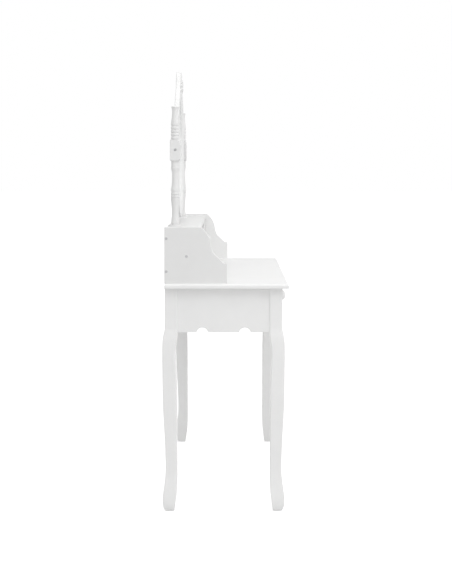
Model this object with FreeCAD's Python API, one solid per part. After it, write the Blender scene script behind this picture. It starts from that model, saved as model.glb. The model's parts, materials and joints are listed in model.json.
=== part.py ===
"""Dressing table: cabriole legs, two table drawers, a two-drawer hutch and a tilting oval mirror.

Millimetres, +Z up.  X runs across the table and -Y is its front.  The origin is on the floor,
under the middle of the table's box.  Every function makes one piece, or one set of like pieces,
and main() writes each as its own STEP file.
"""

import FreeCAD
import Part

import math
import os

from FreeCAD import Vector

# ---------------------------------------------------------------- tabletop
TABLE_HEIGHT = 734.0          # floor to the tabletop's upper face
TOP_WIDTH = 800.0
TOP_DEPTH = 400.0
TOP_THICK = 15.0
TOP_ROUND_OVER = 8.0          # upper edge, all round
TOP_UNDER_ROUND = 2.0         # lower edge, all round
SIDE_OVERHANG = 20.0          # past the legs
FRONT_OVERHANG = 20.0
BACK_OVERHANG = 1.0

# ---------------------------------------------------------------- cabriole legs
LEG_SIZE = 41.0
LEG_CORNER_R = 3.0
LEG_BLOCK_HEIGHT = 127.0      # straight square part that takes the aprons
KNEE_SWELL = 7.7
FOOT_SWELL = 6.2
ANKLE_TUCK = 2.9
KNEE_HOLLOW = 6.1             # inner face under the apron, drawn outwards
FOOT_HOLLOW = 9.9             # inner face at the floor, drawn outwards
GLIDE_HEIGHT = 2.0
GLIDE_R = 9.0
GLIDE_PIN_R = 1.5
GLIDE_PIN_LENGTH = 12.0

# Share of the curved height, outer face's offset, inner face's offset.  Outwards is positive.
LEG_STATIONS = (
    (1.000, 0.0, 0.0),
    (0.970, 0.37 * KNEE_SWELL, 0.0),
    (0.938, 0.81 * KNEE_SWELL, 0.25 * KNEE_HOLLOW),
    (0.905, 0.95 * KNEE_SWELL, 0.70 * KNEE_HOLLOW),
    (0.865, KNEE_SWELL, KNEE_HOLLOW),
    (0.810, 0.97 * KNEE_SWELL, 0.92 * KNEE_HOLLOW),
    (0.735, 0.90 * KNEE_SWELL, 0.58 * KNEE_HOLLOW),
    (0.655, 0.84 * KNEE_SWELL, 0.38 * KNEE_HOLLOW),
    (0.575, 0.68 * KNEE_SWELL, 0.30 * KNEE_HOLLOW),
    (0.480, 0.35 * KNEE_SWELL, 0.25 * KNEE_HOLLOW),
    (0.385, -0.12 * ANKLE_TUCK, 0.23 * KNEE_HOLLOW),
    (0.290, -0.83 * ANKLE_TUCK, 0.20 * KNEE_HOLLOW),
    (0.225, -ANKLE_TUCK, 0.18 * KNEE_HOLLOW),
    (0.175, -0.45 * ANKLE_TUCK, 0.18 * KNEE_HOLLOW),
    (0.125, 0.44 * FOOT_SWELL, 0.19 * FOOT_HOLLOW),
    (0.080, 0.94 * FOOT_SWELL, 0.34 * FOOT_HOLLOW),
    (0.045, FOOT_SWELL, 0.58 * FOOT_HOLLOW),
    (0.016, 0.45 * FOOT_SWELL, 0.83 * FOOT_HOLLOW),
    (0.000, -0.35 * FOOT_SWELL, FOOT_HOLLOW),
)

# ---------------------------------------------------------------- aprons and carcass
APRON_HEIGHT = 143.5
APRON_THICK = 15.0
APRON_RECESS = 4.0            # side and back aprons, behind the legs' outer faces
FACE_RECESS = 2.0             # drawer fronts and front apron, behind the legs' front faces
FRONT_APRON_HEIGHT = 40.0
NOTCH_R = 19.0
NOTCH_RISE = 14.8
NOTCH_FROM_LEG = 80.0         # notch axis to the leg beside it
ARCH_RISE = 13.0              # shallow arch in the middle of the front apron
ARCH_SPAN = 330.0
DIVIDER_THICK = 15.0
BATTEN_HEIGHT = 36.0
CORNER_BLOCK_REACH = 41.0     # past the leg's inner corner, along each apron
CORNER_BLOCK_MARGIN = 4.0     # above and below, inside the front apron's height
BOLT_R = 3.0
BOLT_IN_LEG = 18.0
NUT_R = 5.5
NUT_HEIGHT = 5.0
WASHER_R = 8.0
WASHER_THICK = 1.5
BOLT_TAIL = 9.0
DOWEL_R = 4.0
DOWEL_HALF = 18.0
DOWEL_IN_TOP = 9.0
DOWEL_EDGE = 35.0             # dowel axis to an apron's upper or lower edge
APRON_EDGE_R = 1.5            # lower edges, notches and arch

# ---------------------------------------------------------------- drawers
FRONT_GAP = 2.0               # round a drawer front
BOX_SIDE_GAP = 1.0            # drawer side to the panel beside it
RUNNING_GAP = 0.3             # groove to runner
RUNNER_DEPTH = 7.0
RUNNER_HEIGHT = 12.0
RUNNER_SETBACK = 6.0          # runner's front end, behind the drawer front
RUNNER_DROP = 52.0            # runners and knob, below the tabletop's underside
DRAWER_FRONT_THICK = 15.0
DRAWER_SIDE_THICK = 12.0
DRAWER_BOX_LIFT = 3.0         # box above its front's lower edge
DRAWER_HEADROOM = 15.0        # box below the tabletop
DRAWER_BACK_GAP = 10.0
DRAWER_BOTTOM_THICK = 4.0
DRAWER_BOTTOM_LIFT = 8.0
DRAWER_BOTTOM_TONGUE = 5.0    # how far the bottom sits in its grooves
FRONT_EDGE_R = 2.0

KNOB_R = 16.5
KNOB_LENGTH = 22.0
# Knob's foot, cove and neck, then its cap, as shares of its length and of its radius.
KNOB_STEM_SHARES = ((0.12, 0.64), (0.23, 0.477), (0.34, 0.45))
KNOB_CAP_SHARES = ((0.34, 0.45), (0.55, 0.93), (0.67, 1.0), (0.92, 0.70), (1.0, 0.0))
KNOB_SCREW_R = 2.0
KNOB_SCREW_HEAD_R = 4.5
KNOB_SCREW_HEAD = 2.5
KNOB_SCREW_BITE = 12.0

# ---------------------------------------------------------------- hutch
HUTCH_DEPTH = 201.0
HUTCH_HEIGHT = 180.6
HUTCH_INSET = 15.0            # side panels in from the tabletop's ends
HUTCH_SIDE_THICK = 15.0
HUTCH_EDGE_R = 1.5
HUTCH_TOP_DEPTH = 111.0       # flat top of the side panels, and the top board
HUTCH_TOP_THICK = 15.0
HUTCH_TOP_DROP = 7.6          # top board's face below the side panels' tops
HUTCH_BACK_THICK = 12.0
HUTCH_DIVIDER_THICK = 12.0
HUTCH_DRAWER_OPENING = 190.0
HUTCH_FRONT_THICK = 12.0
HUTCH_BOX_THICK = 10.0
HUTCH_HEADROOM = 23.0         # drawer box below the top board
HUTCH_BOX_BACK_GAP = 4.0
HUTCH_RUNNER_AXIS = 87.0      # runners and knob, above the tabletop
HUTCH_RUNNER_DEPTH = 6.0
HUTCH_RUNNER_HEIGHT = 10.0
HUTCH_DOWEL_R = 3.0
HUTCH_DOWEL_SHARES = (0.3, 0.8)   # dowels' places, as shares of a panel's depth

# Side panel's front edge, from the flat top down to the nose.  Each point is a share of the
# depth in front of the flat top, and a share of the height.
HUTCH_EDGE_SHARES = ((0.0, 1.0), (0.218, 0.929), (0.345, 0.840), (0.440, 0.660),
                     (0.530, 0.535), (0.720, 0.440), (0.900, 0.365), (1.0, 0.220))

SCREW_R = 2.5
SCREW_HEAD_R = 4.3
SCREW_HEAD = 3.0
SCREW_RECESS_R = 4.6
SCREW_RECESS = 4.0
SCREW_SOCKET_R = 2.0
SCREW_SOCKET = 1.8
SCREW_LENGTH = 45.0
SCREW_RISE = 38.0             # lower screw above the tabletop
SCREW_DROP = 14.0             # upper screw below the top board
CLEAT_SCREW_SETBACK = 71.0    # into the runner, from the hutch's back
CLEAT_SCREW_COVER = 1.0       # wood left past the screw's end

# ---------------------------------------------------------------- turned posts
POST_SETBACK = 25.5           # post axis from the hutch's back
POST_BLOCK = 34.0
POST_BLOCK_HEIGHT = 72.0
POST_BLOCK_DROP = 1.0         # block's middle below the pivot
POST_HEAD_HEIGHT = 112.0      # above the block
POST_SHOULDER = 6.5           # length over which the square corners are turned away
POST_EDGE_R = 2.0
POST_DISC_R = 24.5
POST_DISC_THICK = 5.0
POST_DISC_ROUND = 2.0
POST_BOLT_LENGTH = 60.0
POST_BOLT_HEAD_R = 6.0
POST_BOLT_HEAD = 4.0

# Turned outlines.  Each point is a share of the height and a share of half the block's width.  A
# smooth curve runs through each tuple, and its ends are crisp.  The stem runs from the base disc
# to the block, and the head from the block to the cap's upper face.
STEM_SHARES = (
    ((0.000, 0.750), (0.037, 0.815), (0.106, 0.741), (0.190, 0.675), (0.282, 0.730),
     (0.352, 0.825), (0.392, 0.885), (0.419, 0.860)),
    ((0.419, 0.800), (0.428, 0.870), (0.442, 0.900), (0.456, 0.870), (0.465, 0.780)),
    ((0.465, 0.780), (0.473, 0.870), (0.485, 0.900), (0.497, 0.870), (0.506, 0.780)),
    ((0.506, 0.780), (0.540, 0.855), (0.602, 0.735), (0.718, 0.650), (0.773, 0.640),
     (0.838, 0.705), (0.889, 0.835), (0.917, 0.770)),
    ((0.917, 0.800), (0.950, 0.790), (1.000, 0.800)),
)
SHOULDER_SHARES = (0.4, 0.39)     # point between the block's face and its corner
# The beads above the block: points as shares of their pitch and of half the block's width.
RING_SHARES = ((0.0, 0.750), (0.16, 0.840), (0.5, 0.875), (0.84, 0.840), (1.0, 0.750))
RING_PITCH_SHARE = 0.100
POST_RINGS = 4
HEAD_SHARES = (
    ((0.400, 0.750), (0.425, 0.825), (0.480, 0.850), (0.560, 0.805), (0.643, 0.715),
     (0.741, 0.645), (0.821, 0.620), (0.893, 0.645), (0.940, 0.705), (0.972, 0.780)),
    ((0.972, 0.780), (0.988, 0.785), (1.000, 0.720)),
)

# ---------------------------------------------------------------- mirror
MIRROR_LIFT = 18.0            # top board to the mirror's lower edge
MIRROR_GAP = 18.0             # mirror's side to the post's block
PIVOT_AHEAD = 1.0             # pivot axis in front of the posts' axes
FRAME_THICK = 16.0
OVAL_HALF_WIDTH = 185.0
OVAL_HALF_HEIGHT = 240.0
BORDER_SIDE = 42.0
BORDER_END = 42.0
CREST_RISE = 47.0             # above the oval's top
CREST_HALF_WIDTH = 100.0
# Crest from the oval to its middle, as shares of that half width and of the rise.
CREST_SHARES = ((1.0, 0.0), (0.8, 0.19), (0.66, 0.44), (0.54, 0.72), (0.31, 0.93))
FRAME_EDGE_R = 3.0
BEVEL_WIDTH = 9.0
BEVEL_DEPTH = 6.0
REBATE_WIDTH = 8.0
GLASS_THICK = 3.0
BACK_BOARD_THICK = 4.0
GLASS_CLEARANCE = 0.3
BACK_SCREWS = 8
BACK_SCREW_R = 1.5
BACK_SCREW_LENGTH = 9.0
BACK_SCREW_HEAD_R = 5.0
BACK_SCREW_HEAD = 2.0
BACK_SCREW_OUTSET = 3.5       # screw axis outside the rebate

CARVING_PROUD = 7.5
CARVING_LOBES = 7
CARVING_LOBE_LENGTH = 34.0
CARVING_LOBE_R = 6.0
CARVING_LOBE_FULL_SHARE = 0.6     # where a lobe is widest
CARVING_SPREAD = 150.0        # degrees, first lobe to last
CARVING_DROP = 14.0           # fan's centre below the oval's top
CARVING_BOSS_R = 13.0

PIVOT_R = 3.0
PIVOT_CLEARANCE = 0.05
PIVOT_RECESS_R = 4.4
PIVOT_RECESS = 8.0
PIVOT_HEAD_R = 4.0
PIVOT_HEAD = 5.0
PIVOT_BITE = 24.0             # bolt inside the frame
SPACER_R = 6.5
SPACER_GAP = 0.3              # spacer to the post's block

# ---------------------------------------------------------------- places worked out from the sizes
UNDERSIDE = TABLE_HEIGHT - TOP_THICK
LEG_OUT_X = TOP_WIDTH / 2 - SIDE_OVERHANG
LEG_IN_X = LEG_OUT_X - LEG_SIZE
LEG_SWELL = max(KNEE_SWELL, FOOT_SWELL, BACK_OVERHANG)
TOP_FRONT_Y = -(TOP_DEPTH - BACK_OVERHANG + LEG_SWELL) / 2
TOP_BACK_Y = TOP_FRONT_Y + TOP_DEPTH
LEG_FRONT_Y = TOP_FRONT_Y + FRONT_OVERHANG
LEG_REAR_Y = TOP_BACK_Y - BACK_OVERHANG
LEG_MIDDLE_Y = (LEG_FRONT_Y + LEG_REAR_Y) / 2
APRON_OUT_X = LEG_OUT_X - APRON_RECESS
APRON_IN_X = APRON_OUT_X - APRON_THICK
APRON_REAR_Y = LEG_REAR_Y - APRON_RECESS
APRON_BACK_FACE_Y = APRON_REAR_Y - APRON_THICK
FACE_Y = LEG_FRONT_Y + FACE_RECESS
APRON_BOTTOM = UNDERSIDE - APRON_HEIGHT
RAIL_TOP = APRON_BOTTOM + FRONT_APRON_HEIGHT
RUNNER_AXIS = UNDERSIDE - RUNNER_DROP

HUTCH_BACK_Y = TOP_BACK_Y
HUTCH_OUT_X = TOP_WIDTH / 2 - HUTCH_INSET
HUTCH_IN_X = HUTCH_OUT_X - HUTCH_SIDE_THICK
HUTCH_PANEL_Y = HUTCH_BACK_Y - HUTCH_BACK_THICK
HUTCH_FRONT_Y = HUTCH_BACK_Y - HUTCH_TOP_DEPTH
HUTCH_BOARD_TOP = TABLE_HEIGHT + HUTCH_HEIGHT - HUTCH_TOP_DROP
HUTCH_BOARD_UNDER = HUTCH_BOARD_TOP - HUTCH_TOP_THICK
HUTCH_DIVIDER_OUT_X = HUTCH_IN_X - HUTCH_DRAWER_OPENING
HUTCH_RUNNER_Z = TABLE_HEIGHT + HUTCH_RUNNER_AXIS

PIVOT_HEIGHT = HUTCH_BOARD_TOP + MIRROR_LIFT + OVAL_HALF_HEIGHT
POST_X = OVAL_HALF_WIDTH + MIRROR_GAP + POST_BLOCK / 2
POST_BLOCK_BOTTOM = PIVOT_HEIGHT - POST_BLOCK_DROP - POST_BLOCK_HEIGHT / 2
POST_BLOCK_TOP = POST_BLOCK_BOTTOM + POST_BLOCK_HEIGHT
POST_TOP = POST_BLOCK_TOP + POST_HEAD_HEIGHT
POST_Y = HUTCH_BACK_Y - POST_SETBACK
PIVOT_Y = POST_Y - PIVOT_AHEAD
FRAME_FRONT_Y = PIVOT_Y - FRAME_THICK / 2
FRAME_BACK_Y = PIVOT_Y + FRAME_THICK / 2
REBATE_Y = FRAME_BACK_Y - BACK_BOARD_THICK - GLASS_THICK
OVAL_TOP = PIVOT_HEIGHT + OVAL_HALF_HEIGHT
GLASS_HALF_WIDTH = OVAL_HALF_WIDTH - BORDER_SIDE + REBATE_WIDTH
GLASS_HALF_HEIGHT = OVAL_HALF_HEIGHT - BORDER_END + REBATE_WIDTH

X_AXIS = Vector(1, 0, 0)
Y_AXIS = Vector(0, 1, 0)
Z_AXIS = Vector(0, 0, 1)
ORIGIN = Vector(0, 0, 0)


# ---------------------------------------------------------------- shape helpers
def block(low, high):
    """A box between two corners."""
    size = [b - a for a, b in zip(low, high)]
    return Part.makeBox(*size, Vector(*low))


def rod(radius, start, along, length):
    """A cylinder from a point, along an axis."""
    return Part.makeCylinder(radius, length, Vector(*start), along)


def mirrored(shape):
    """The same piece on the other side of the table."""
    return shape.mirror(ORIGIN, X_AXIS)


def both_sides(shapes):
    """A set of pieces and its mirror image across the table."""
    return list(shapes) + [mirrored(shape) for shape in shapes]


def rounded(shape, radius, wanted):
    """The shape with every edge that answers wanted(box) rounded."""
    edges = [edge for edge in shape.Edges if wanted(edge.BoundBox)]
    return shape.makeFillet(radius, edges)


def at(value, target):
    """True where two lengths are the same place."""
    return abs(value - target) < 0.01


def front_perimeter(y):
    """Picks the edges that lie on a face at this depth."""
    return lambda box: at(box.YMin, y) and at(box.YMax, y)


def spline(points, first=None, last=None):
    """A smooth curve through points, with end directions where they are given."""
    curve = Part.BSplineCurve()
    if first is None:
        curve.interpolate(Points=points)
    else:
        curve.interpolate(Points=points, InitialTangent=first, FinalTangent=last)
    return curve.toShape()


def line(start, end):
    """A straight edge."""
    return Part.LineSegment(start, end).toShape()


def arc(start, middle, end):
    """A round edge through three points."""
    return Part.Arc(start, middle, end).toShape()


def turned(edges, centre, along):
    """A solid of revolution from an outline that closes on its axis."""
    face = Part.Face(Part.Wire(edges))
    return face.revolve(Vector(*centre), along, 360)


def ellipse_face(half_width, half_height, y):
    """An upright oval face round the pivot's height."""
    if half_width > half_height:
        curve = Part.Ellipse(ORIGIN, half_width, half_height)
        turn = 0
    else:
        curve = Part.Ellipse(ORIGIN, half_height, half_width)
        turn = 90
    edge = curve.toShape()
    edge.rotate(ORIGIN, Z_AXIS, turn)
    edge.rotate(ORIGIN, X_AXIS, 90)
    edge.translate(Vector(0, y, PIVOT_HEIGHT))
    return Part.Face(Part.Wire([edge]))


def oval_plate(half_width, half_height, y_front, y_back):
    """An oval plate between two depths."""
    return ellipse_face(half_width, half_height, y_front).extrude(Vector(0, y_back - y_front, 0))


# ---------------------------------------------------------------- pegs, and the holes they fill
def carcass_dowels():
    """Dowels that join aprons to legs and to the tabletop, on the right half and the middle."""
    side_x = (APRON_OUT_X + APRON_IN_X) / 2
    back_y = (APRON_REAR_Y + APRON_BACK_FACE_Y) / 2
    front_y = FACE_Y + APRON_THICK / 2
    heights = (APRON_BOTTOM + DOWEL_EDGE, UNDERSIDE - DOWEL_EDGE)
    length = 2 * DOWEL_HALF
    pegs = []
    for z in heights:
        for y in (LEG_FRONT_Y + LEG_SIZE, LEG_REAR_Y - LEG_SIZE):
            pegs.append(rod(DOWEL_R, (side_x, y - DOWEL_HALF, z), Y_AXIS, length))
        pegs.append(rod(DOWEL_R, (LEG_IN_X - DOWEL_HALF, back_y, z), X_AXIS, length))
    rail_z = (APRON_BOTTOM + RAIL_TOP) / 2
    pegs.append(rod(DOWEL_R, (LEG_IN_X - DOWEL_HALF, front_y, rail_z), X_AXIS, length))
    start = UNDERSIDE - DOWEL_HALF
    for x, y in ((side_x, LEG_MIDDLE_Y), (LEG_IN_X / 2, back_y)):
        pegs.append(rod(DOWEL_R, (x, y, start), Z_AXIS, DOWEL_HALF + DOWEL_IN_TOP))
    return pegs


def hutch_dowels():
    """Dowels under the hutch's uprights and at the top board's ends, on the right half."""
    side_x = (HUTCH_OUT_X + HUTCH_IN_X) / 2
    divider_x = HUTCH_DIVIDER_OUT_X - HUTCH_DIVIDER_THICK / 2
    board_z = (HUTCH_BOARD_TOP + HUTCH_BOARD_UNDER) / 2
    foot = TABLE_HEIGHT - DOWEL_IN_TOP
    near_back, near_front = HUTCH_DOWEL_SHARES
    rear_y = HUTCH_BACK_Y - near_back * HUTCH_TOP_DEPTH
    front_y = HUTCH_BACK_Y - near_front * HUTCH_TOP_DEPTH
    nose_y = HUTCH_BACK_Y - near_front * HUTCH_DEPTH
    pegs = []
    for x, y in ((side_x, rear_y), (side_x, nose_y), (divider_x, rear_y), (divider_x, front_y)):
        pegs.append(rod(HUTCH_DOWEL_R, (x, y, foot), Z_AXIS, DOWEL_IN_TOP + DOWEL_HALF))
    for y in (rear_y, front_y):
        start = HUTCH_IN_X - DOWEL_HALF
        end = HUTCH_IN_X + HUTCH_SIDE_THICK / 2
        pegs.append(rod(HUTCH_DOWEL_R, (start, y, board_z), X_AXIS, end - start))
    return pegs


def drilled(shape, pegs):
    """The shape with a fitted hole for each peg."""
    return shape.cut(Part.makeCompound(pegs))


CARCASS_DOWELS = both_sides(carcass_dowels())
HUTCH_DOWELS = both_sides(hutch_dowels())


# ---------------------------------------------------------------- table carcass
def tabletop():
    """The top, rounded over all round."""
    half = TOP_WIDTH / 2
    top = block((-half, TOP_FRONT_Y, UNDERSIDE), (half, TOP_BACK_Y, TABLE_HEIGHT))
    for z, radius in ((TABLE_HEIGHT, TOP_ROUND_OVER), (UNDERSIDE, TOP_UNDER_ROUND)):
        top = rounded(top, radius, lambda box: at(box.ZMin, z) and at(box.ZMax, z))
    return drilled(top, CARCASS_DOWELS + HUTCH_DOWELS)


def leg_section(z, outer, inner):
    """A rounded square across the rear right leg at one height."""
    low = -LEG_SIZE + inner
    high = outer
    r = LEG_CORNER_R
    k = r * (1 - math.sqrt(0.5))

    def corner(x, y):
        return Vector(LEG_OUT_X + x, LEG_REAR_Y + y, z)

    edges = [
        line(corner(low + r, low), corner(high - r, low)),
        arc(corner(high - r, low), corner(high - k, low + k), corner(high, low + r)),
        line(corner(high, low + r), corner(high, high - r)),
        arc(corner(high, high - r), corner(high - k, high - k), corner(high - r, high)),
        line(corner(high - r, high), corner(low + r, high)),
        arc(corner(low + r, high), corner(low + k, high - k), corner(low, high - r)),
        line(corner(low, high - r), corner(low, low + r)),
        arc(corner(low, low + r), corner(low + k, low + k), corner(low + r, low)),
    ]
    return Part.Wire(edges)


def rear_right_leg():
    """A square block that runs down into the S-curve of knee, ankle and foot."""
    knee_top = UNDERSIDE - LEG_BLOCK_HEIGHT
    curved = knee_top - GLIDE_HEIGHT
    wires = [leg_section(GLIDE_HEIGHT + share * curved, outer, inner)
             for share, outer, inner in LEG_STATIONS]
    shank = Part.makeLoft(wires, True, False)
    head = Part.Face(wires[0]).extrude(Vector(0, 0, LEG_BLOCK_HEIGHT))
    return head.fuse(shank)


def glide():
    """A round nail-on glide under the rear right foot."""
    middle = (LEG_STATIONS[-1][1] + LEG_STATIONS[-1][2] - LEG_SIZE) / 2
    spot = (LEG_OUT_X + middle, LEG_REAR_Y + middle)
    pad = rod(GLIDE_R, (*spot, 0), Z_AXIS, GLIDE_HEIGHT)
    pin = rod(GLIDE_PIN_R, (*spot, GLIDE_HEIGHT), Z_AXIS, GLIDE_PIN_LENGTH)
    return pad.fuse(pin)


def to_front(shape):
    """A rear corner's piece, mirrored to the front corner."""
    return shape.mirror(Vector(0, LEG_MIDDLE_Y, 0), Y_AXIS)


def four_corners(shape):
    """A rear right piece at all four corners of the frame."""
    return both_sides([shape, to_front(shape)])


def corner_bolt():
    """Hanger bolt through the corner block into the rear right leg, with washer and nut."""
    reach = (CORNER_BLOCK_REACH - (APRON_IN_X - LEG_IN_X)) / 2
    z = (APRON_BOTTOM + RAIL_TOP) / 2
    diagonal = Vector(1, 1, 0).normalize()
    seat = Vector(LEG_IN_X - reach, LEG_REAR_Y - LEG_SIZE - reach, z)
    length = BOLT_TAIL + reach * math.sqrt(2) + BOLT_IN_LEG
    shaft = rod(BOLT_R, seat - diagonal * BOLT_TAIL, diagonal, length)
    washer = rod(WASHER_R, seat - diagonal * WASHER_THICK, diagonal, WASHER_THICK)
    grip = WASHER_THICK + NUT_HEIGHT
    ring = Part.makePolygon([Vector(NUT_R * math.cos(math.radians(60 * i)),
                                    NUT_R * math.sin(math.radians(60 * i)), 0)
                             for i in range(7)])
    nut = Part.Face(ring).extrude(Vector(0, 0, NUT_HEIGHT))
    nut.Placement = FreeCAD.Placement(seat - diagonal * grip,
                                      FreeCAD.Rotation(Z_AXIS, diagonal))
    return shaft.fuse([washer, nut])


def corner_block():
    """Triangular block behind the rear right leg, notched round the leg's inner corner."""
    x = LEG_IN_X
    y = LEG_REAR_Y - LEG_SIZE
    deep_x = APRON_IN_X
    deep_y = APRON_BACK_FACE_Y
    low = APRON_BOTTOM + CORNER_BLOCK_MARGIN
    high = RAIL_TOP - CORNER_BLOCK_MARGIN
    reach = CORNER_BLOCK_REACH
    corners = [(deep_x, y), (x, y), (x, deep_y), (x - reach, deep_y), (deep_x, y - reach)]
    outline = Part.makePolygon([Vector(*p, low) for p in corners + corners[:1]])
    body = Part.Face(outline).extrude(Vector(0, 0, high - low))
    return body.cut(corner_bolt())


def leg(blank):
    """A leg with the holes for its glide pin, hanger bolt and dowels."""
    fixings = four_corners(glide()) + four_corners(corner_bolt())
    return drilled(blank, fixings + CARCASS_DOWELS)


def lower_edge(across):
    """Picks the edges of an apron's faces along its shaped underside."""
    return lambda box: at(getattr(box, across), 0) and box.ZMax < UNDERSIDE - APRON_HEIGHT / 2 \
        and box.ZLength < NOTCH_RISE + APRON_EDGE_R


def side_apron():
    """Right side apron with two round notches in its lower edge."""
    front = LEG_FRONT_Y + LEG_SIZE
    rear = LEG_REAR_Y - LEG_SIZE
    apron = block((APRON_IN_X, front, APRON_BOTTOM), (APRON_OUT_X, rear, UNDERSIDE))
    axis_z = APRON_BOTTOM + NOTCH_RISE - NOTCH_R
    notches = [rod(NOTCH_R, (APRON_IN_X, y, axis_z), X_AXIS, APRON_THICK)
               for y in (front + NOTCH_FROM_LEG, rear - NOTCH_FROM_LEG)]
    apron = rounded(apron.cut(notches), APRON_EDGE_R, lower_edge("XLength"))
    return drilled(apron, CARCASS_DOWELS)


def back_apron():
    """Plain board between the rear legs."""
    board = block((-LEG_IN_X, APRON_BACK_FACE_Y, APRON_BOTTOM),
                  (LEG_IN_X, APRON_REAR_Y, UNDERSIDE))
    return drilled(board, CARCASS_DOWELS)


def front_apron():
    """Low rail under the drawers, with the side notches and a shallow arch between them."""
    rail = block((-LEG_IN_X, FACE_Y, APRON_BOTTOM), (LEG_IN_X, FACE_Y + APRON_THICK, RAIL_TOP))
    axis_z = APRON_BOTTOM + NOTCH_RISE - NOTCH_R
    notches = [rod(NOTCH_R, (side * (LEG_IN_X - NOTCH_FROM_LEG), FACE_Y, axis_z),
                   Y_AXIS, APRON_THICK) for side in (-1, 1)]
    arch_r = (ARCH_SPAN ** 2 / 4 + ARCH_RISE ** 2) / (2 * ARCH_RISE)
    arch = rod(arch_r, (0, FACE_Y, APRON_BOTTOM + ARCH_RISE - arch_r), Y_AXIS, APRON_THICK)
    rail = rounded(rail.cut(notches + [arch]), APRON_EDGE_R,
                   lambda box: at(box.YLength, 0) and box.ZMax < RAIL_TOP - APRON_EDGE_R)
    return drilled(rail, CARCASS_DOWELS)


def drawer_divider():
    """Upright between the two table drawers, on the front apron and against the back one."""
    half = DIVIDER_THICK / 2
    return block((-half, FACE_Y, RAIL_TOP), (half, APRON_BACK_FACE_Y, UNDERSIDE))


def runner_battens():
    """Battens that fill the side aprons out to the legs' inner faces."""
    low = RUNNER_AXIS - BATTEN_HEIGHT / 2
    batten = block((LEG_IN_X, LEG_FRONT_Y + LEG_SIZE, low),
                   (APRON_IN_X, LEG_REAR_Y - LEG_SIZE, low + BATTEN_HEIGHT))
    return both_sides([batten])


def drawer_runners():
    """Four hardwood strips that the grooved drawer sides slide on."""
    low = RUNNER_AXIS - RUNNER_HEIGHT / 2
    front = FACE_Y + DRAWER_FRONT_THICK + RUNNER_SETBACK
    strips = []
    for x in (LEG_IN_X - RUNNER_DEPTH, DIVIDER_THICK / 2):
        strips.append(block((x, front, low),
                            (x + RUNNER_DEPTH, APRON_BACK_FACE_Y, low + RUNNER_HEIGHT)))
    return both_sides(strips)


# ---------------------------------------------------------------- drawers
class Drawer:
    """One right-hand drawer: its opening, its box, its knob and the runners that carry it."""

    def __init__(self, opening, face_y, end_y, front, side, headroom, knob, runner):
        self.x0, self.x1, self.z0, self.z1 = opening
        self.face_y = face_y
        self.end_y = end_y
        self.front_thick = front
        self.side_thick = side
        self.knob_r, self.knob_length = knob
        self.runner_z, self.runner_height, self.runner_depth = runner
        self.box_y = face_y + front
        self.low = self.z0 + FRONT_GAP + DRAWER_BOX_LIFT
        self.high = self.z1 - headroom
        self.left = self.x0 + BOX_SIDE_GAP
        self.right = self.x1 - BOX_SIDE_GAP
        self.knob_spot = ((self.x0 + self.x1) / 2, self.runner_z)

    def bottom(self):
        """Thin bottom, let into the front and the sides."""
        tongue = DRAWER_BOTTOM_TONGUE
        low = self.low + DRAWER_BOTTOM_LIFT
        return block((self.left + self.side_thick - tongue, self.box_y - tongue, low),
                     (self.right - self.side_thick + tongue, self.end_y,
                      low + DRAWER_BOTTOM_THICK))

    def back(self):
        """Board across the rear, standing on the bottom."""
        low = self.low + DRAWER_BOTTOM_LIFT + DRAWER_BOTTOM_THICK
        return block((self.left + self.side_thick, self.end_y - self.side_thick, low),
                     (self.right - self.side_thick, self.end_y, self.high))

    def sides(self):
        """Two sides, each grooved outside for its runner and inside for the bottom."""
        half = self.runner_height / 2 + RUNNING_GAP
        depth = self.runner_depth - BOX_SIDE_GAP + RUNNING_GAP
        grooves = []
        boards = []
        for outer, inner in ((self.left, self.left + self.side_thick),
                             (self.right, self.right - self.side_thick)):
            inward = math.copysign(depth, inner - outer)
            xs = sorted((outer, outer + inward))
            grooves.append(block((xs[0], self.box_y, self.runner_z - half),
                                 (xs[1], self.end_y, self.runner_z + half)))
            xs = sorted((outer, inner))
            boards.append(block((xs[0], self.box_y, self.low), (xs[1], self.end_y, self.high)))
        cuts = Part.makeCompound(grooves + [self.bottom()])
        return [board.cut(cuts) for board in boards]

    def screw(self):
        """Knob screw, from inside the drawer through the front."""
        x, z = self.knob_spot
        length = self.front_thick + KNOB_SCREW_BITE
        shank = rod(KNOB_SCREW_R, (x, self.face_y - KNOB_SCREW_BITE, z), Y_AXIS, length)
        head = rod(KNOB_SCREW_HEAD_R, (x, self.box_y, z), Y_AXIS, KNOB_SCREW_HEAD)
        return shank.fuse(head)

    def front(self):
        """Drawer front with eased edges, grooved behind for the bottom."""
        board = block((self.x0 + FRONT_GAP, self.face_y, self.z0 + FRONT_GAP),
                      (self.x1 - FRONT_GAP, self.box_y, self.z1 - FRONT_GAP))
        board = rounded(board, FRONT_EDGE_R, front_perimeter(self.face_y))
        return drilled(board, [self.bottom(), self.screw()])

    def knob(self):
        """Turned mushroom knob on the front, level with the runners."""
        x, z = self.knob_spot

        def out(length, radius):
            return Vector(x + radius * self.knob_r, self.face_y - length * self.knob_length, z)

        stem = [out(*shares) for shares in KNOB_STEM_SHARES]
        cap = [out(*shares) for shares in KNOB_CAP_SHARES]
        foot = out(0, KNOB_STEM_SHARES[0][1])
        edges = [line(out(0, 0), foot), line(foot, stem[0]), arc(*stem),
                 spline(cap, Y_AXIS * -1, X_AXIS * -1), line(cap[-1], out(0, 0))]
        body = turned(edges, (x, self.face_y, z), Y_AXIS)
        return drilled(body, [self.screw()])

    def pieces(self):
        """Every piece of the drawer by its plain name."""
        return {"front": [self.front()], "sides": self.sides(), "back": [self.back()],
                "bottom": [self.bottom()], "knob": [self.knob()], "knob_screw": [self.screw()]}


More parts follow.
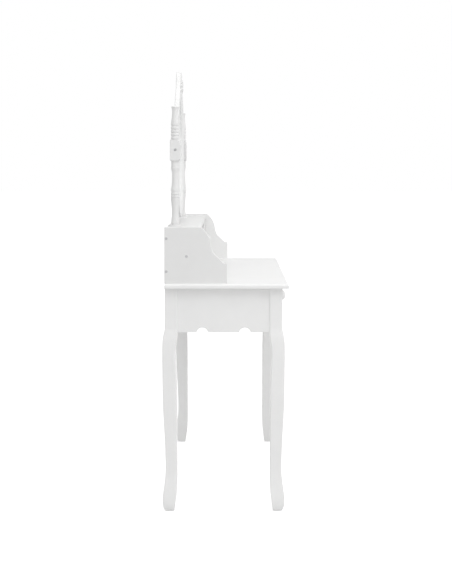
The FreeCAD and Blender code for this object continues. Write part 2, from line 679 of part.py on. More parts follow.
def table_drawer():
    """The right table drawer."""
    opening = (DIVIDER_THICK / 2, LEG_IN_X, RAIL_TOP, UNDERSIDE)
    return Drawer(opening, FACE_Y, APRON_BACK_FACE_Y - DRAWER_BACK_GAP, DRAWER_FRONT_THICK,
                  DRAWER_SIDE_THICK, DRAWER_HEADROOM, (KNOB_R, KNOB_LENGTH),
                  (RUNNER_AXIS, RUNNER_HEIGHT, RUNNER_DEPTH))


def hutch_drawer():
    """The right hutch drawer."""
    opening = (HUTCH_DIVIDER_OUT_X, HUTCH_IN_X, TABLE_HEIGHT, HUTCH_BOARD_UNDER)
    return Drawer(opening, HUTCH_FRONT_Y, HUTCH_PANEL_Y - HUTCH_BOX_BACK_GAP,
                  HUTCH_FRONT_THICK, HUTCH_BOX_THICK, HUTCH_HEADROOM,
                  (KNOB_R, KNOB_LENGTH),
                  (HUTCH_RUNNER_Z, HUTCH_RUNNER_HEIGHT, HUTCH_RUNNER_DEPTH))


# ---------------------------------------------------------------- hutch
def hutch_runners():
    """Cleats on the hutch's side panels and dividers."""
    low = HUTCH_RUNNER_Z - HUTCH_RUNNER_HEIGHT / 2
    front = HUTCH_FRONT_Y + HUTCH_FRONT_THICK + RUNNING_GAP + RUNNER_SETBACK / 2
    cleats = [block((x, front, low),
                    (x + HUTCH_RUNNER_DEPTH, HUTCH_PANEL_Y, low + HUTCH_RUNNER_HEIGHT))
              for x in (HUTCH_IN_X - HUTCH_RUNNER_DEPTH, HUTCH_DIVIDER_OUT_X)]
    cleats[0] = drilled(cleats[0], hutch_side_screws())
    return both_sides(cleats)


def hutch_side_screws():
    """Three recessed screws in the right side panel."""
    head_x = HUTCH_OUT_X - SCREW_RECESS
    panel_y = HUTCH_BACK_Y - HUTCH_BACK_THICK / 2
    cleat_end = HUTCH_SIDE_THICK - SCREW_RECESS + HUTCH_RUNNER_DEPTH - CLEAT_SCREW_COVER
    spots = [(panel_y, TABLE_HEIGHT + SCREW_RISE, SCREW_LENGTH),
             (panel_y, HUTCH_BOARD_UNDER - SCREW_DROP, SCREW_LENGTH),
             (HUTCH_BACK_Y - CLEAT_SCREW_SETBACK, HUTCH_RUNNER_Z, cleat_end)]
    screws = []
    for y, z, length in spots:
        shank = rod(SCREW_R, (head_x - length, y, z), X_AXIS, length)
        head = rod(SCREW_HEAD_R, (head_x - SCREW_HEAD, y, z), X_AXIS, SCREW_HEAD)
        socket = rod(SCREW_SOCKET_R, (head_x - SCREW_SOCKET, y, z), X_AXIS, SCREW_SOCKET)
        screws.append(shank.fuse(head).cut(socket))
    return screws


def hutch_side():
    """Right side panel with its ogee front edge and recessed screw holes."""
    ahead = HUTCH_DEPTH - HUTCH_TOP_DEPTH

    def point(depth, height):
        return Vector(HUTCH_IN_X, HUTCH_BACK_Y - depth, TABLE_HEIGHT + height)

    curve = [point(HUTCH_TOP_DEPTH + s * ahead, t * HUTCH_HEIGHT) for s, t in HUTCH_EDGE_SHARES]
    back_low = point(0, 0)
    back_high = point(0, HUTCH_HEIGHT)
    nose = point(HUTCH_DEPTH, 0)
    edges = [line(back_low, back_high), line(back_high, curve[0]),
             spline(curve, Vector(0, -1, 0), Vector(0, 0, -1)),
             line(curve[-1], nose), line(nose, back_low)]
    panel = Part.Face(Part.Wire(edges)).extrude(Vector(HUTCH_SIDE_THICK, 0, 0))
    panel = rounded(panel, HUTCH_EDGE_R, lambda box: at(box.XLength, 0)
                    and not at(box.ZMax, TABLE_HEIGHT) and not at(box.YMin, HUTCH_BACK_Y))
    screws = hutch_side_screws()
    recesses = [rod(SCREW_RECESS_R, (HUTCH_OUT_X - SCREW_RECESS, screw.BoundBox.Center.y,
                                     screw.BoundBox.Center.z), X_AXIS, SCREW_RECESS)
                for screw in screws]
    sockets = [rod(SCREW_HEAD_R, (HUTCH_OUT_X - SCREW_RECESS - SCREW_HEAD,
                                  screw.BoundBox.Center.y, screw.BoundBox.Center.z),
                   X_AXIS, SCREW_HEAD) for screw in screws]
    return drilled(panel, screws + recesses + sockets + HUTCH_DOWELS)


def post_bolt():
    """Bolt up through the top board into the right post, head let into the board."""
    head = rod(POST_BOLT_HEAD_R, (POST_X, POST_Y, HUTCH_BOARD_UNDER), Z_AXIS, POST_BOLT_HEAD)
    shaft = rod(BOLT_R, (POST_X, POST_Y, HUTCH_BOARD_UNDER), Z_AXIS, POST_BOLT_LENGTH)
    return head.fuse(shaft)


def hutch_top():
    """Board between the side panels that carries the posts."""
    board = block((-HUTCH_IN_X, HUTCH_FRONT_Y, HUTCH_BOARD_UNDER),
                  (HUTCH_IN_X, HUTCH_BACK_Y, HUTCH_BOARD_TOP))
    board = rounded(board, HUTCH_EDGE_R, front_perimeter(HUTCH_FRONT_Y))
    return drilled(board, both_sides([post_bolt()]) + HUTCH_DOWELS)


def hutch_back():
    """Back panel under the top board."""
    panel = block((-HUTCH_IN_X, HUTCH_PANEL_Y, TABLE_HEIGHT),
                  (HUTCH_IN_X, HUTCH_BACK_Y, HUTCH_BOARD_UNDER))
    return drilled(panel, both_sides(hutch_side_screws()))


def hutch_divider():
    """Upright between the right hutch drawer and the open middle."""
    panel = block((HUTCH_DIVIDER_OUT_X - HUTCH_DIVIDER_THICK, HUTCH_FRONT_Y, TABLE_HEIGHT),
                  (HUTCH_DIVIDER_OUT_X, HUTCH_PANEL_Y, HUTCH_BOARD_UNDER))
    return drilled(panel, HUTCH_DOWELS)


# ---------------------------------------------------------------- posts
def post_runs():
    """The right post's turned outlines, bottom to top, as heights and radii."""
    half = POST_BLOCK / 2
    corner = half * math.sqrt(2)
    foot = HUTCH_BOARD_TOP + POST_DISC_THICK

    def scaled(run, low, high):
        return [(low + share * (high - low), radius * half) for share, radius in run]

    stem = [scaled(run, foot, POST_BLOCK_BOTTOM) for run in STEM_SHARES]
    rings = [[((i + share) * RING_PITCH_SHARE, radius) for share, radius in RING_SHARES]
             for i in range(POST_RINGS)]
    head = [scaled(run, POST_BLOCK_TOP, POST_TOP) for run in (*rings, *HEAD_SHARES)]

    share, spread = SHOULDER_SHARES
    between = half + spread * (corner - half)
    low, high, turn = POST_BLOCK_BOTTOM, POST_BLOCK_TOP, POST_SHOULDER
    low_shoulder = [(low, half), (low + share * turn, between), (low + turn, corner)]
    high_shoulder = [(high - turn, corner), (high - share * turn, between), (high, half)]
    return [*stem, low_shoulder, high_shoulder, *head]


def post():
    """Right post: turned below and above a square block whose corners are turned away."""

    def out(height, radius):
        return Vector(POST_X + radius, POST_Y, height)

    runs = post_runs()
    base = runs[0][0][0]
    edges = [line(out(base, 0), out(*runs[0][0]))]
    ends = [out(*run[0]) for run in runs[1:]] + [out(POST_TOP, 0)]
    for run, follow in zip(runs, ends):
        edges.append(spline([out(*place) for place in run]))
        if not out(*run[-1]).isEqual(follow, 0.001):
            edges.append(line(out(*run[-1]), follow))
    edges.append(line(out(POST_TOP, 0), out(base, 0)))
    spindle = turned(edges, (POST_X, POST_Y, 0), Z_AXIS)

    half = POST_BLOCK / 2
    square = block((POST_X - half, POST_Y - half, POST_BLOCK_BOTTOM - POST_SHOULDER),
                   (POST_X + half, POST_Y + half, POST_BLOCK_TOP + POST_SHOULDER))
    square = rounded(square, POST_EDGE_R, lambda box: box.ZLength > POST_BLOCK_HEIGHT)
    stock = rod(half, (POST_X, POST_Y, base), Z_AXIS, POST_TOP - base)
    body = spindle.common(square.fuse(stock))
    return drilled(body, [post_bolt(), post_bore()])


def post_bore():
    """What the pivot bolt needs in the right post: a running bore and a recess for its head."""
    outer = POST_X + POST_BLOCK / 2
    bore = rod(PIVOT_R + PIVOT_CLEARANCE, (POST_X - POST_BLOCK / 2, PIVOT_Y, PIVOT_HEIGHT),
               X_AXIS, POST_BLOCK)
    recess = rod(PIVOT_RECESS_R, (outer - PIVOT_RECESS, PIVOT_Y, PIVOT_HEIGHT),
                 X_AXIS, PIVOT_RECESS)
    return bore.fuse(recess)


def post_disc():
    """Turned base disc under the right post."""
    disc = rod(POST_DISC_R, (POST_X, POST_Y, HUTCH_BOARD_TOP), Z_AXIS, POST_DISC_THICK)
    disc = rounded(disc, POST_DISC_ROUND,
                   lambda box: at(box.ZMin, HUTCH_BOARD_TOP + POST_DISC_THICK)
                   and box.XLength > POST_DISC_R)
    return drilled(disc, [post_bolt()])


# ---------------------------------------------------------------- mirror
def crest_height(x):
    """Height of the oval's outer edge at this distance from the middle."""
    return PIVOT_HEIGHT + OVAL_HALF_HEIGHT * math.sqrt(1 - (x / OVAL_HALF_WIDTH) ** 2)


def frame_outline():
    """The oval, with a crest that flows up out of its shoulders."""
    x = CREST_HALF_WIDTH
    z = crest_height(x)
    slope = -OVAL_HALF_HEIGHT ** 2 * x / (OVAL_HALF_WIDTH ** 2 * (z - PIVOT_HEIGHT))
    tall = OVAL_TOP + CREST_RISE
    rise = tall - z

    def point(share_x, share_z):
        return Vector(share_x * x, FRAME_FRONT_Y, z + share_z * rise)

    right = [point(*shares) for shares in CREST_SHARES]
    left = [Vector(-p.x, p.y, p.z) for p in reversed(right)]
    crest = spline(right + [point(0.0, 1.0)] + left, Vector(-1, 0, -slope), Vector(-1, 0, slope))
    angle = math.atan2((z - PIVOT_HEIGHT) / OVAL_HALF_HEIGHT, x / OVAL_HALF_WIDTH)

    def oval(turn):
        return Vector(OVAL_HALF_WIDTH * math.cos(turn), FRAME_FRONT_Y,
                      PIVOT_HEIGHT + OVAL_HALF_HEIGHT * math.sin(turn))

    ellipse = ellipse_face(OVAL_HALF_WIDTH, OVAL_HALF_HEIGHT, FRAME_FRONT_Y).Edges[0]
    cutter = line(oval(angle), oval(math.pi - angle))
    parts = [piece for piece in ellipse.generalFuse([cutter])[0].Edges
             if piece.BoundBox.ZMin < PIVOT_HEIGHT]
    return Part.Wire(Part.__sortEdges__(parts + [crest]))


def mirror_frame():
    """Oval frame with crest, bevelled sight edge and a rebate behind for the glass."""
    body = Part.Face(frame_outline()).extrude(Vector(0, FRAME_THICK, 0))
    body = rounded(body, FRAME_EDGE_R, lambda box: at(box.YLength, 0))
    half_width = OVAL_HALF_WIDTH - BORDER_SIDE
    half_height = OVAL_HALF_HEIGHT - BORDER_END
    sight = oval_plate(half_width, half_height, FRAME_FRONT_Y, FRAME_BACK_Y)
    rims = [ellipse_face(half_width + grow, half_height + grow, y).OuterWire
            for grow, y in ((BEVEL_WIDTH, FRAME_FRONT_Y), (0.0, FRAME_FRONT_Y + BEVEL_DEPTH))]
    bevel = Part.makeLoft(rims, True, True)
    rebate = oval_plate(GLASS_HALF_WIDTH, GLASS_HALF_HEIGHT, REBATE_Y, FRAME_BACK_Y)
    return drilled(body, [sight, bevel, rebate, *both_sides([pivot_bolt()]),
                          *back_board_screws()])


def glass():
    """Oval looking-glass on the rebate's floor."""
    return oval_plate(GLASS_HALF_WIDTH - GLASS_CLEARANCE, GLASS_HALF_HEIGHT - GLASS_CLEARANCE,
                      REBATE_Y, REBATE_Y + GLASS_THICK)


def back_board():
    """Thin board that closes the frame behind the glass."""
    return oval_plate(GLASS_HALF_WIDTH - GLASS_CLEARANCE, GLASS_HALF_HEIGHT - GLASS_CLEARANCE,
                      REBATE_Y + GLASS_THICK, FRAME_BACK_Y)


def back_board_screws():
    """Small round-headed screws round the rebate, whose heads lap over the back board."""
    screws = []
    for i in range(BACK_SCREWS):
        turn = 2 * math.pi * (i + 0.5) / BACK_SCREWS
        x = (GLASS_HALF_WIDTH + BACK_SCREW_OUTSET) * math.cos(turn)
        z = PIVOT_HEIGHT + (GLASS_HALF_HEIGHT + BACK_SCREW_OUTSET) * math.sin(turn)
        start = FRAME_BACK_Y - BACK_SCREW_LENGTH
        shank = rod(BACK_SCREW_R, (x, start, z), Y_AXIS, BACK_SCREW_LENGTH)
        head = rod(BACK_SCREW_HEAD_R, (x, FRAME_BACK_Y, z), Y_AXIS, BACK_SCREW_HEAD)
        screws.append(shank.fuse(head))
    return screws


def carving():
    """Fan of pointed lobes round a boss, applied to the crest's face."""
    centre = Vector(0, FRAME_FRONT_Y, OVAL_TOP - CARVING_DROP)
    length = CARVING_LOBE_LENGTH
    tip = Vector(0, 0, length)
    side = Vector(CARVING_LOBE_R, 0, CARVING_LOBE_FULL_SHARE * length)
    lobe = turned([arc(ORIGIN, side, tip), line(tip, ORIGIN)], (0, 0, 0), Z_AXIS)
    step = CARVING_SPREAD / (CARVING_LOBES - 1)
    solids = [Part.makeSphere(CARVING_BOSS_R, Vector(0, CARVING_BOSS_R - CARVING_PROUD, 0))]
    for i in range(CARVING_LOBES):
        turn = -CARVING_SPREAD / 2 + i * step
        petal = lobe.copy()
        petal.rotate(ORIGIN, Y_AXIS, turn)
        solids.append(petal)
    body = solids[0].fuse(solids[1:])
    reach = 2 * length
    front_half = block((-reach, -reach, -reach), (reach, 0, reach))
    body = body.common(front_half)
    body.translate(centre)
    return body


def pivot_bolt():
    """Right pivot bolt: socket head in the post's recess, shank threaded into the frame."""
    outer = POST_X + POST_BLOCK / 2
    under_head = outer - PIVOT_RECESS + SPACER_GAP
    inner = OVAL_HALF_WIDTH - PIVOT_BITE
    shank = rod(PIVOT_R, (inner, PIVOT_Y, PIVOT_HEIGHT), X_AXIS, under_head - inner)
    head = rod(PIVOT_HEAD_R, (under_head, PIVOT_Y, PIVOT_HEIGHT), X_AXIS, PIVOT_HEAD)
    socket = rod(PIVOT_HEAD_R / 2, (under_head + PIVOT_HEAD / 2, PIVOT_Y, PIVOT_HEIGHT),
                 X_AXIS, PIVOT_HEAD / 2)
    return shank.fuse(head).cut(socket)


def pivot_spacer():
    """Collar on the right pivot bolt between frame and post."""
    inner = OVAL_HALF_WIDTH
    outer = POST_X - POST_BLOCK / 2 - SPACER_GAP
    collar = rod(SPACER_R, (inner, PIVOT_Y, PIVOT_HEIGHT), X_AXIS, outer - inner)
    return collar.cut(pivot_bolt())


# ---------------------------------------------------------------- the whole table
def pieces():
    """Every node's name with its solids."""
    rear_leg = rear_right_leg()
    nodes = {
        "tabletop": [tabletop()],
        "foot_glides": four_corners(glide()),
        "corner_blocks": four_corners(corner_block()),
        "corner_bolts": four_corners(corner_bolt()),
        "back_apron": [back_apron()],
        "front_apron": [front_apron()],
        "drawer_divider": [drawer_divider()],
        "runner_battens": runner_battens(),
        "drawer_runners": drawer_runners(),
        "apron_dowels": CARCASS_DOWELS,
        "hutch_top": [hutch_top()],
        "hutch_back": [hutch_back()],
        "hutch_runners": hutch_runners(),
        "hutch_screws": both_sides(hutch_side_screws()),
        "hutch_dowels": HUTCH_DOWELS,
        "post_base_discs": both_sides([post_disc()]),
        "post_bolts": both_sides([post_bolt()]),
        "mirror_frame": [mirror_frame()],
        "mirror_carving": [carving()],
        "mirror_glass": [glass()],
        "mirror_back_board": [back_board()],
        "back_board_screws": back_board_screws(),
        "pivot_bolts": both_sides([pivot_bolt()]),
        "pivot_spacers": both_sides([pivot_spacer()]),
    }
    handed = {"leg_rear": leg(rear_leg), "leg_front": leg(to_front(rear_leg)),
              "side_apron": side_apron(), "hutch_side": hutch_side(),
              "hutch_divider": hutch_divider(), "post": post()}
    for name, shape in handed.items():
        nodes[name + "_right"] = [shape]
        nodes[name + "_left"] = [mirrored(shape)]
    for name, drawer in (("drawer", table_drawer()), ("hutch_drawer", hutch_drawer())):
        for part, solids in drawer.pieces().items():
            nodes[f"{name}_right_{part}"] = solids
            nodes[f"{name}_left_{part}"] = [mirrored(solid) for solid in solids]
    return nodes


def main():
    """Write one STEP file for each node."""
    os.makedirs("parts", exist_ok=True)
    for name, shapes in pieces().items():
        solids = [solid for shape in shapes for solid in shape.Solids]
        shape = solids[0] if len(solids) == 1 else Part.makeCompound(solids)
        shape.exportStep(f"parts/{name}.step")
        box = shape.BoundBox
        print(f"{name:28s} solids {len(solids):2d} valid {shape.isValid()} "
              f"{box.XLength:7.1f} {box.YLength:7.1f} {box.ZLength:7.1f}")


main()
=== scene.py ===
"""Looks of the dressing table: paint, mirror, carving, hardware, camera and light.

Metres, +Z up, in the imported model's own frame.  Its pieces stay where they are: each gets a
finish, and the carving, the looking-glass and the fasteners are made again in full detail.
"""

from __future__ import annotations

import json
import logging
import math
from collections.abc import Callable, Iterable, Mapping, Sequence
from dataclasses import dataclass, field
from enum import Enum
from typing import Any

import bpy
from mathutils import Euler, Matrix, Vector

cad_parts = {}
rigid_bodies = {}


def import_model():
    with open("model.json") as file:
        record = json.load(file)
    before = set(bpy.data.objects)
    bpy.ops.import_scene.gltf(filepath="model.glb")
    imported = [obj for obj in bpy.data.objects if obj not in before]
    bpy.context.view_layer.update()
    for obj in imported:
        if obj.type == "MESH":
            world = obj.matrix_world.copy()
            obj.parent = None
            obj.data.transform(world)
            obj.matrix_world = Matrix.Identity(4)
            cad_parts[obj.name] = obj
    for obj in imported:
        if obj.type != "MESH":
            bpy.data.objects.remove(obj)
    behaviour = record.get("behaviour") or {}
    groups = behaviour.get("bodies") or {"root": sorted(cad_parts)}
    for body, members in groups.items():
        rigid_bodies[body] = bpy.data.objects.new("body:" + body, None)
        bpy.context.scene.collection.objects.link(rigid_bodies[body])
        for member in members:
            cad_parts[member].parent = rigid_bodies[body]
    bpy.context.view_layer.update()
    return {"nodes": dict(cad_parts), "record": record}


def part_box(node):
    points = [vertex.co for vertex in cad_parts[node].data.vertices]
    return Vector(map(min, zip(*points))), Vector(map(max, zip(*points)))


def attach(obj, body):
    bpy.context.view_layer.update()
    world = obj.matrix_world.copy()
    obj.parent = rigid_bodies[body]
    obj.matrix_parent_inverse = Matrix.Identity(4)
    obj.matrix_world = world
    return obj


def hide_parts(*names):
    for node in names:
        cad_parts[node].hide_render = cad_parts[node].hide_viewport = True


LOG = logging.getLogger("dressing_table")
MM = 0.001
TABLE_FRONT_THICK = 15.0 * MM
HUTCH_FRONT_THICK = 12.0 * MM

Colour = tuple[float, float, float]
Radius = Callable[[float], float]
Ring = tuple[float, Radius | None]


# ---------------------------------------------------------------- node trees
class Signal:
    """A value that a node tree works out, which Python expressions can combine."""

    def __init__(self, tree: NodeTree, socket: bpy.types.NodeSocket) -> None:
        """Wrap an output socket.

        Args:
            tree: The tree that the socket is in.
            socket: The node's output.
        """
        self.tree = tree
        self.socket = socket

    def __add__(self, other: Signal | float) -> Signal:
        """Sum."""
        return self.tree.maths("ADD", self, other)

    def __radd__(self, other: float) -> Signal:
        """Sum, with the number first."""
        return self.tree.maths("ADD", other, self)

    def __sub__(self, other: Signal | float) -> Signal:
        """Difference."""
        return self.tree.maths("SUBTRACT", self, other)

    def __rsub__(self, other: float) -> Signal:
        """Difference, with the number first."""
        return self.tree.maths("SUBTRACT", other, self)

    def __mul__(self, other: Signal | float) -> Signal:
        """Product."""
        return self.tree.maths("MULTIPLY", self, other)

    def __rmul__(self, other: float) -> Signal:
        """Product, with the number first."""
        return self.tree.maths("MULTIPLY", other, self)

    def __truediv__(self, other: Signal | float) -> Signal:
        """Quotient."""
        return self.tree.maths("DIVIDE", self, other)

    def __mod__(self, other: Signal | float) -> Signal:
        """Remainder."""
        return self.tree.maths("MODULO", self, other)

    def __abs__(self) -> Signal:
        """Size without sign."""
        return self.tree.maths("ABSOLUTE", self)


class NodeTree:
    """Adds nodes to a shader or geometry tree."""

    def __init__(self, tree: bpy.types.NodeTree) -> None:
        """Wrap a tree.

        Args:
            tree: The tree to build in.
        """
        self.tree = tree

    def node(self, kind: str, settings: Mapping[str, Any] | None = None,
             inputs: Mapping[str | int, Any] | None = None) -> bpy.types.Node:
        """Add a node, apply its settings, then give its sockets values or links.

        Args:
            kind: The node's type name.
            settings: The node's own properties.  "stops" holds a colour ramp's places and colours.
            inputs: Values or signals by socket name or number.

        Returns:
            The new node.
        """
        made = self.tree.nodes.new(kind)
        for name, value in (settings or {}).items():
            if name == "stops":
                self._set_stops(made.color_ramp, value)
            else:
                setattr(made, name, value)
        for key, value in (inputs or {}).items():
            if isinstance(value, Signal):
                self.tree.links.new(value.socket, made.inputs[key])
            else:
                made.inputs[key].default_value = value
        return made

    def signal(self, kind: str, settings: Mapping[str, Any] | None = None,
               inputs: Mapping[str | int, Any] | None = None, output: str | int = 0) -> Signal:
        """Add a node and return one of its outputs.

        Args:
            kind: The node's type name.
            settings: The node's own properties.
            inputs: Values or signals by socket name or number.
            output: The output's name or number.

        Returns:
            The output as a signal.
        """
        return Signal(self, self.node(kind, settings, inputs).outputs[output])

    def maths(self, operation: str, first: Signal | float, second: Signal | float = 0.0) -> Signal:
        """Add a Math node.

        Args:
            operation: The Math node's operation.
            first: Its first value.
            second: Its second value.

        Returns:
            The result.
        """
        return self.signal("ShaderNodeMath", {"operation": operation}, {0: first, 1: second})

    @staticmethod
    def _set_stops(ramp: bpy.types.ColorRamp, stops: Sequence[tuple[float, Colour]]) -> None:
        """Replace a colour ramp's stops.

        Args:
            ramp: The ramp.
            stops: Place and colour of each stop, in rising order.
        """
        while len(ramp.elements) > 1:
            ramp.elements.remove(ramp.elements[-1])
        for index, (place, colour) in enumerate(stops):
            element = ramp.elements[0] if index == 0 else ramp.elements.new(place)
            element.position = place
            element.color = (*colour, 1.0)


class Surface(NodeTree):
    """A material's tree, with the parts that every finish uses."""

    def __init__(self, name: str, metallic: float = 0.0, ior: float = 1.5) -> None:
        """Start a material with one Principled shader.

        Args:
            name: The material's name.
            metallic: The shader's metallic value.
            ior: The shader's index of refraction.
        """
        self.material = bpy.data.materials.new(name)
        self.material.use_nodes = True
        super().__init__(self.material.node_tree)
        self.shader = self.tree.nodes["Principled BSDF"]
        self.shader.inputs["Metallic"].default_value = metallic
        self.shader.inputs["IOR"].default_value = ior
        self.place = self.signal("ShaderNodeTexCoord", output="Object")

    def stretched(self, scale: tuple[float, float, float]) -> Signal:
        """Object coordinates, scaled along each axis."""
        return self.signal("ShaderNodeMapping", {"vector_type": "POINT"},
                           {"Vector": self.place, "Scale": scale})

    def noise(self, where: Signal, scale: float, detail: float = 2.0,
              distortion: float = 0.0) -> Signal:
        """Smooth noise from 0 to 1.

        Args:
            where: Coordinates.
            scale: Features per metre.
            detail: Octaves.
            distortion: How far the pattern is pulled about.

        Returns:
            The noise.
        """
        return self.signal("ShaderNodeTexNoise", {"noise_dimensions": "3D"},
                           {"Vector": where, "Scale": scale, "Detail": detail,
                            "Distortion": distortion}, output=0)

    @staticmethod
    def around(middle: float, swing: float, pattern: Signal) -> Signal:
        """A value that a pattern from 0 to 1 moves about its middle."""
        return middle - swing / 2 + swing * pattern

    def ramp(self, factor: Signal, stops: Sequence[tuple[float, Colour]]) -> Signal:
        """A colour for each value of a factor.

        Args:
            factor: What the colour follows.
            stops: Place and colour of each stop.

        Returns:
            The colour.
        """
        return self.signal("ShaderNodeValToRGB", {"stops": stops}, {"Fac": factor}, output="Color")

    def finish(self, colour: Signal, roughness: Signal, height: Signal, depth: float,
               strength: float) -> bpy.types.Material:
        """Link what varies over the surface to the shader.

        Args:
            colour: Base colour.
            roughness: Roughness.
            height: Relief from 0 to 1.
            depth: The relief's depth in metres.
            strength: Share of the relief that shows.

        Returns:
            The material.
        """
        bump = self.signal("ShaderNodeBump", {},
                           {"Height": height, "Distance": depth, "Strength": strength},
                           output="Normal")
        for socket, value in (("Base Color", colour), ("Roughness", roughness), ("Normal", bump)):
            self.tree.links.new(value.socket, self.shader.inputs[socket])
        return self.material


# ---------------------------------------------------------------- finishes
class Grain(Enum):
    """Which way a board's grain runs."""

    ALONG_X = (1, 0, 0)
    ALONG_Y = (0, 1, 0)
    ALONG_Z = (0, 0, 1)

    def scale(self, along: float, across: float) -> tuple[float, float, float]:
        """Scales that stretch a pattern along the grain.

        Args:
            along: Features per metre along the grain.
            across: Features per metre across it.

        Returns:
            The scale for each axis.
        """
        return tuple(along if axis else across for axis in self.value)


class Whiteness(Enum):
    """How bright each group of parts' white is painted."""

    TABLE = 1.0
    MIRROR = 0.97
    HUTCH = 0.92

    def tone(self, colour: Colour) -> Colour:
        """A white as this group has it."""
        return tuple(self.value * part for part in colour)


@dataclass(frozen=True)
class Paint:
    """Sprayed white paint: faint orange peel over wood whose grain just telegraphs through."""

    name: str
    light: Colour
    shade: Colour
    grain: Grain = Grain.ALONG_Z
    roughness: float = 0.36
    roughness_swing: float = 0.1
    clouds_per_metre: float = 5.0
    patches_per_metre: float = 38.0
    cloud_share: float = 0.65
    stops: tuple[float, float] = (0.35, 0.62)
    peel_per_metre: float = 620.0
    peel_depth: float = 0.05 * MM
    fibres_per_metre: tuple[float, float] = (9.0, 420.0)
    grain_share: float = 0.35
    relief: float = 0.55

    def make(self) -> bpy.types.Material:
        """Build the material.

        Returns:
            The material.
        """
        surface = Surface(self.name)
        cloud = surface.noise(surface.place, self.clouds_per_metre, 3.0)
        patch = surface.noise(surface.place, self.patches_per_metre, 3.0)
        peel = surface.noise(surface.place, self.peel_per_metre, 2.0)
        along_grain = surface.stretched(self.grain.scale(*self.fibres_per_metre))
        fibre = surface.noise(along_grain, 1.0, 4.0, 0.3)
        colour = surface.ramp(self.cloud_share * cloud + (1 - self.cloud_share) * patch,
                              list(zip(self.stops, (self.shade, self.light))))
        roughness = surface.around(self.roughness, self.roughness_swing, patch)
        height = peel * (1 - self.grain_share) + fibre * self.grain_share
        return surface.finish(colour, roughness, height, self.peel_depth, self.relief)


@dataclass(frozen=True)
class BareWood:
    """Planed wood: rings stretched along the grain, with fine dark pores."""

    name: str
    light: Colour
    dark: Colour
    grain: Grain = Grain.ALONG_Y
    roughness: float = 0.65
    roughness_swing: float = 0.2
    rings_per_metre: float = 90.0
    ring_stretch: float = 0.08
    ring_wobble: float = 6.0
    ring_share: float = 0.5
    warps_per_metre: tuple[float, float] = (2.5, 22.0)
    stops: tuple[float, float] = (0.2, 0.75)
    pores_per_metre: tuple[float, float] = (60.0, 1500.0)
    pore_share: float = 0.25
    pore_depth: float = 0.08 * MM
    relief: float = 0.6

    def make(self) -> bpy.types.Material:
        """Build the material.

        Returns:
            The material.
        """
        surface = Surface(self.name)
        warp = surface.noise(surface.stretched(self.grain.scale(*self.warps_per_metre)), 1.0, 3.0,
                             0.4)
        rings = surface.signal("ShaderNodeTexWave", {"wave_type": "RINGS", "rings_direction": "X"},
                               {"Vector": surface.stretched(self.grain.scale(self.ring_stretch,
                                                                             1.0)),
                                "Scale": self.rings_per_metre, "Distortion": self.ring_wobble,
                                "Detail": 2.0, "Detail Scale": 1.4}, output="Fac")
        pores = surface.noise(surface.stretched(self.grain.scale(*self.pores_per_metre)), 1.0, 2.0)
        factor = (self.ring_share * rings + (1 - self.ring_share) * warp
                  - self.pore_share * pores + self.pore_share / 2)
        colour = surface.ramp(factor, list(zip(self.stops, (self.dark, self.light))))
        roughness = surface.around(self.roughness, self.roughness_swing, pores)
        return surface.finish(colour, roughness, pores, self.pore_depth, self.relief)


@dataclass(frozen=True)
class Fibreboard:
    """Pressed board: short speckled fibres in every direction."""

    name: str
    light: Colour
    dark: Colour
    roughness: float = 0.62
    roughness_swing: float = 0.12
    specks_per_metre: float = 900.0
    clouds_per_metre: float = 14.0
    speck_share: float = 0.7
    stops: tuple[float, float] = (0.3, 0.65)
    speck_depth: float = 0.05 * MM
    relief: float = 0.5

    def make(self) -> bpy.types.Material:
        """Build the material.

        Returns:
            The material.
        """
        surface = Surface(self.name)
        speck = surface.noise(surface.place, self.specks_per_metre, 3.0, 1.2)
        cloud = surface.noise(surface.place, self.clouds_per_metre, 3.0)
        colour = surface.ramp(self.speck_share * speck + (1 - self.speck_share) * cloud,
                              list(zip(self.stops, (self.dark, self.light))))
        roughness = surface.around(self.roughness, self.roughness_swing, speck)
        return surface.finish(colour, roughness, speck, self.speck_depth, self.relief)


@dataclass(frozen=True)
class PlatedSteel:
    """Zinc-plated steel: a dull crystal bloom, with fine turning marks."""

    name: str
    light: Colour
    dark: Colour
    roughness: float = 0.34
    roughness_swing: float = 0.18
    crystals_per_metre: float = 700.0
    clouds_per_metre: float = 160.0
    marks_per_metre: float = 2400.0
    bloom_share: float = 0.5
    stops: tuple[float, float] = (0.25, 0.7)
    mark_depth: float = 0.02 * MM
    relief: float = 0.5

    def make(self) -> bpy.types.Material:
        """Build the material.

        Returns:
            The material.
        """
        surface = Surface(self.name, metallic=1.0, ior=2.5)
        bloom = surface.signal("ShaderNodeTexVoronoi", {"feature": "F1"},
                               {"Vector": surface.place, "Scale": self.crystals_per_metre},
                               output="Distance")
        cloud = surface.noise(surface.place, self.clouds_per_metre, 3.0)
        marks = surface.noise(surface.place, self.marks_per_metre, 2.0)
        colour = surface.ramp(self.bloom_share * bloom + (1 - self.bloom_share) * cloud,
                              list(zip(self.stops, (self.dark, self.light))))
        roughness = surface.around(self.roughness, self.roughness_swing, cloud)
        return surface.finish(colour, roughness, marks, self.mark_depth, self.relief)


@dataclass(frozen=True)
class Silvering:
    """Looking-glass: bright silver behind faintly green glass."""

    name: str
    tint: Colour
    shade: Colour
    roughness: float = 0.018
    roughness_swing: float = 0.012
    clouds_per_metre: float = 8.0
    stops: tuple[float, float] = (0.3, 0.7)
    wave_depth: float = 0.002 * MM
    relief: float = 0.05

    def make(self) -> bpy.types.Material:
        """Build the material.

        Returns:
            The material.
        """
        surface = Surface(self.name, metallic=1.0, ior=1.52)
        cloud = surface.noise(surface.place, self.clouds_per_metre, 2.0)
        colour = surface.ramp(cloud, list(zip(self.stops, (self.shade, self.tint))))
        roughness = surface.around(self.roughness, self.roughness_swing, cloud)
        return surface.finish(colour, roughness, cloud, self.wave_depth, self.relief)


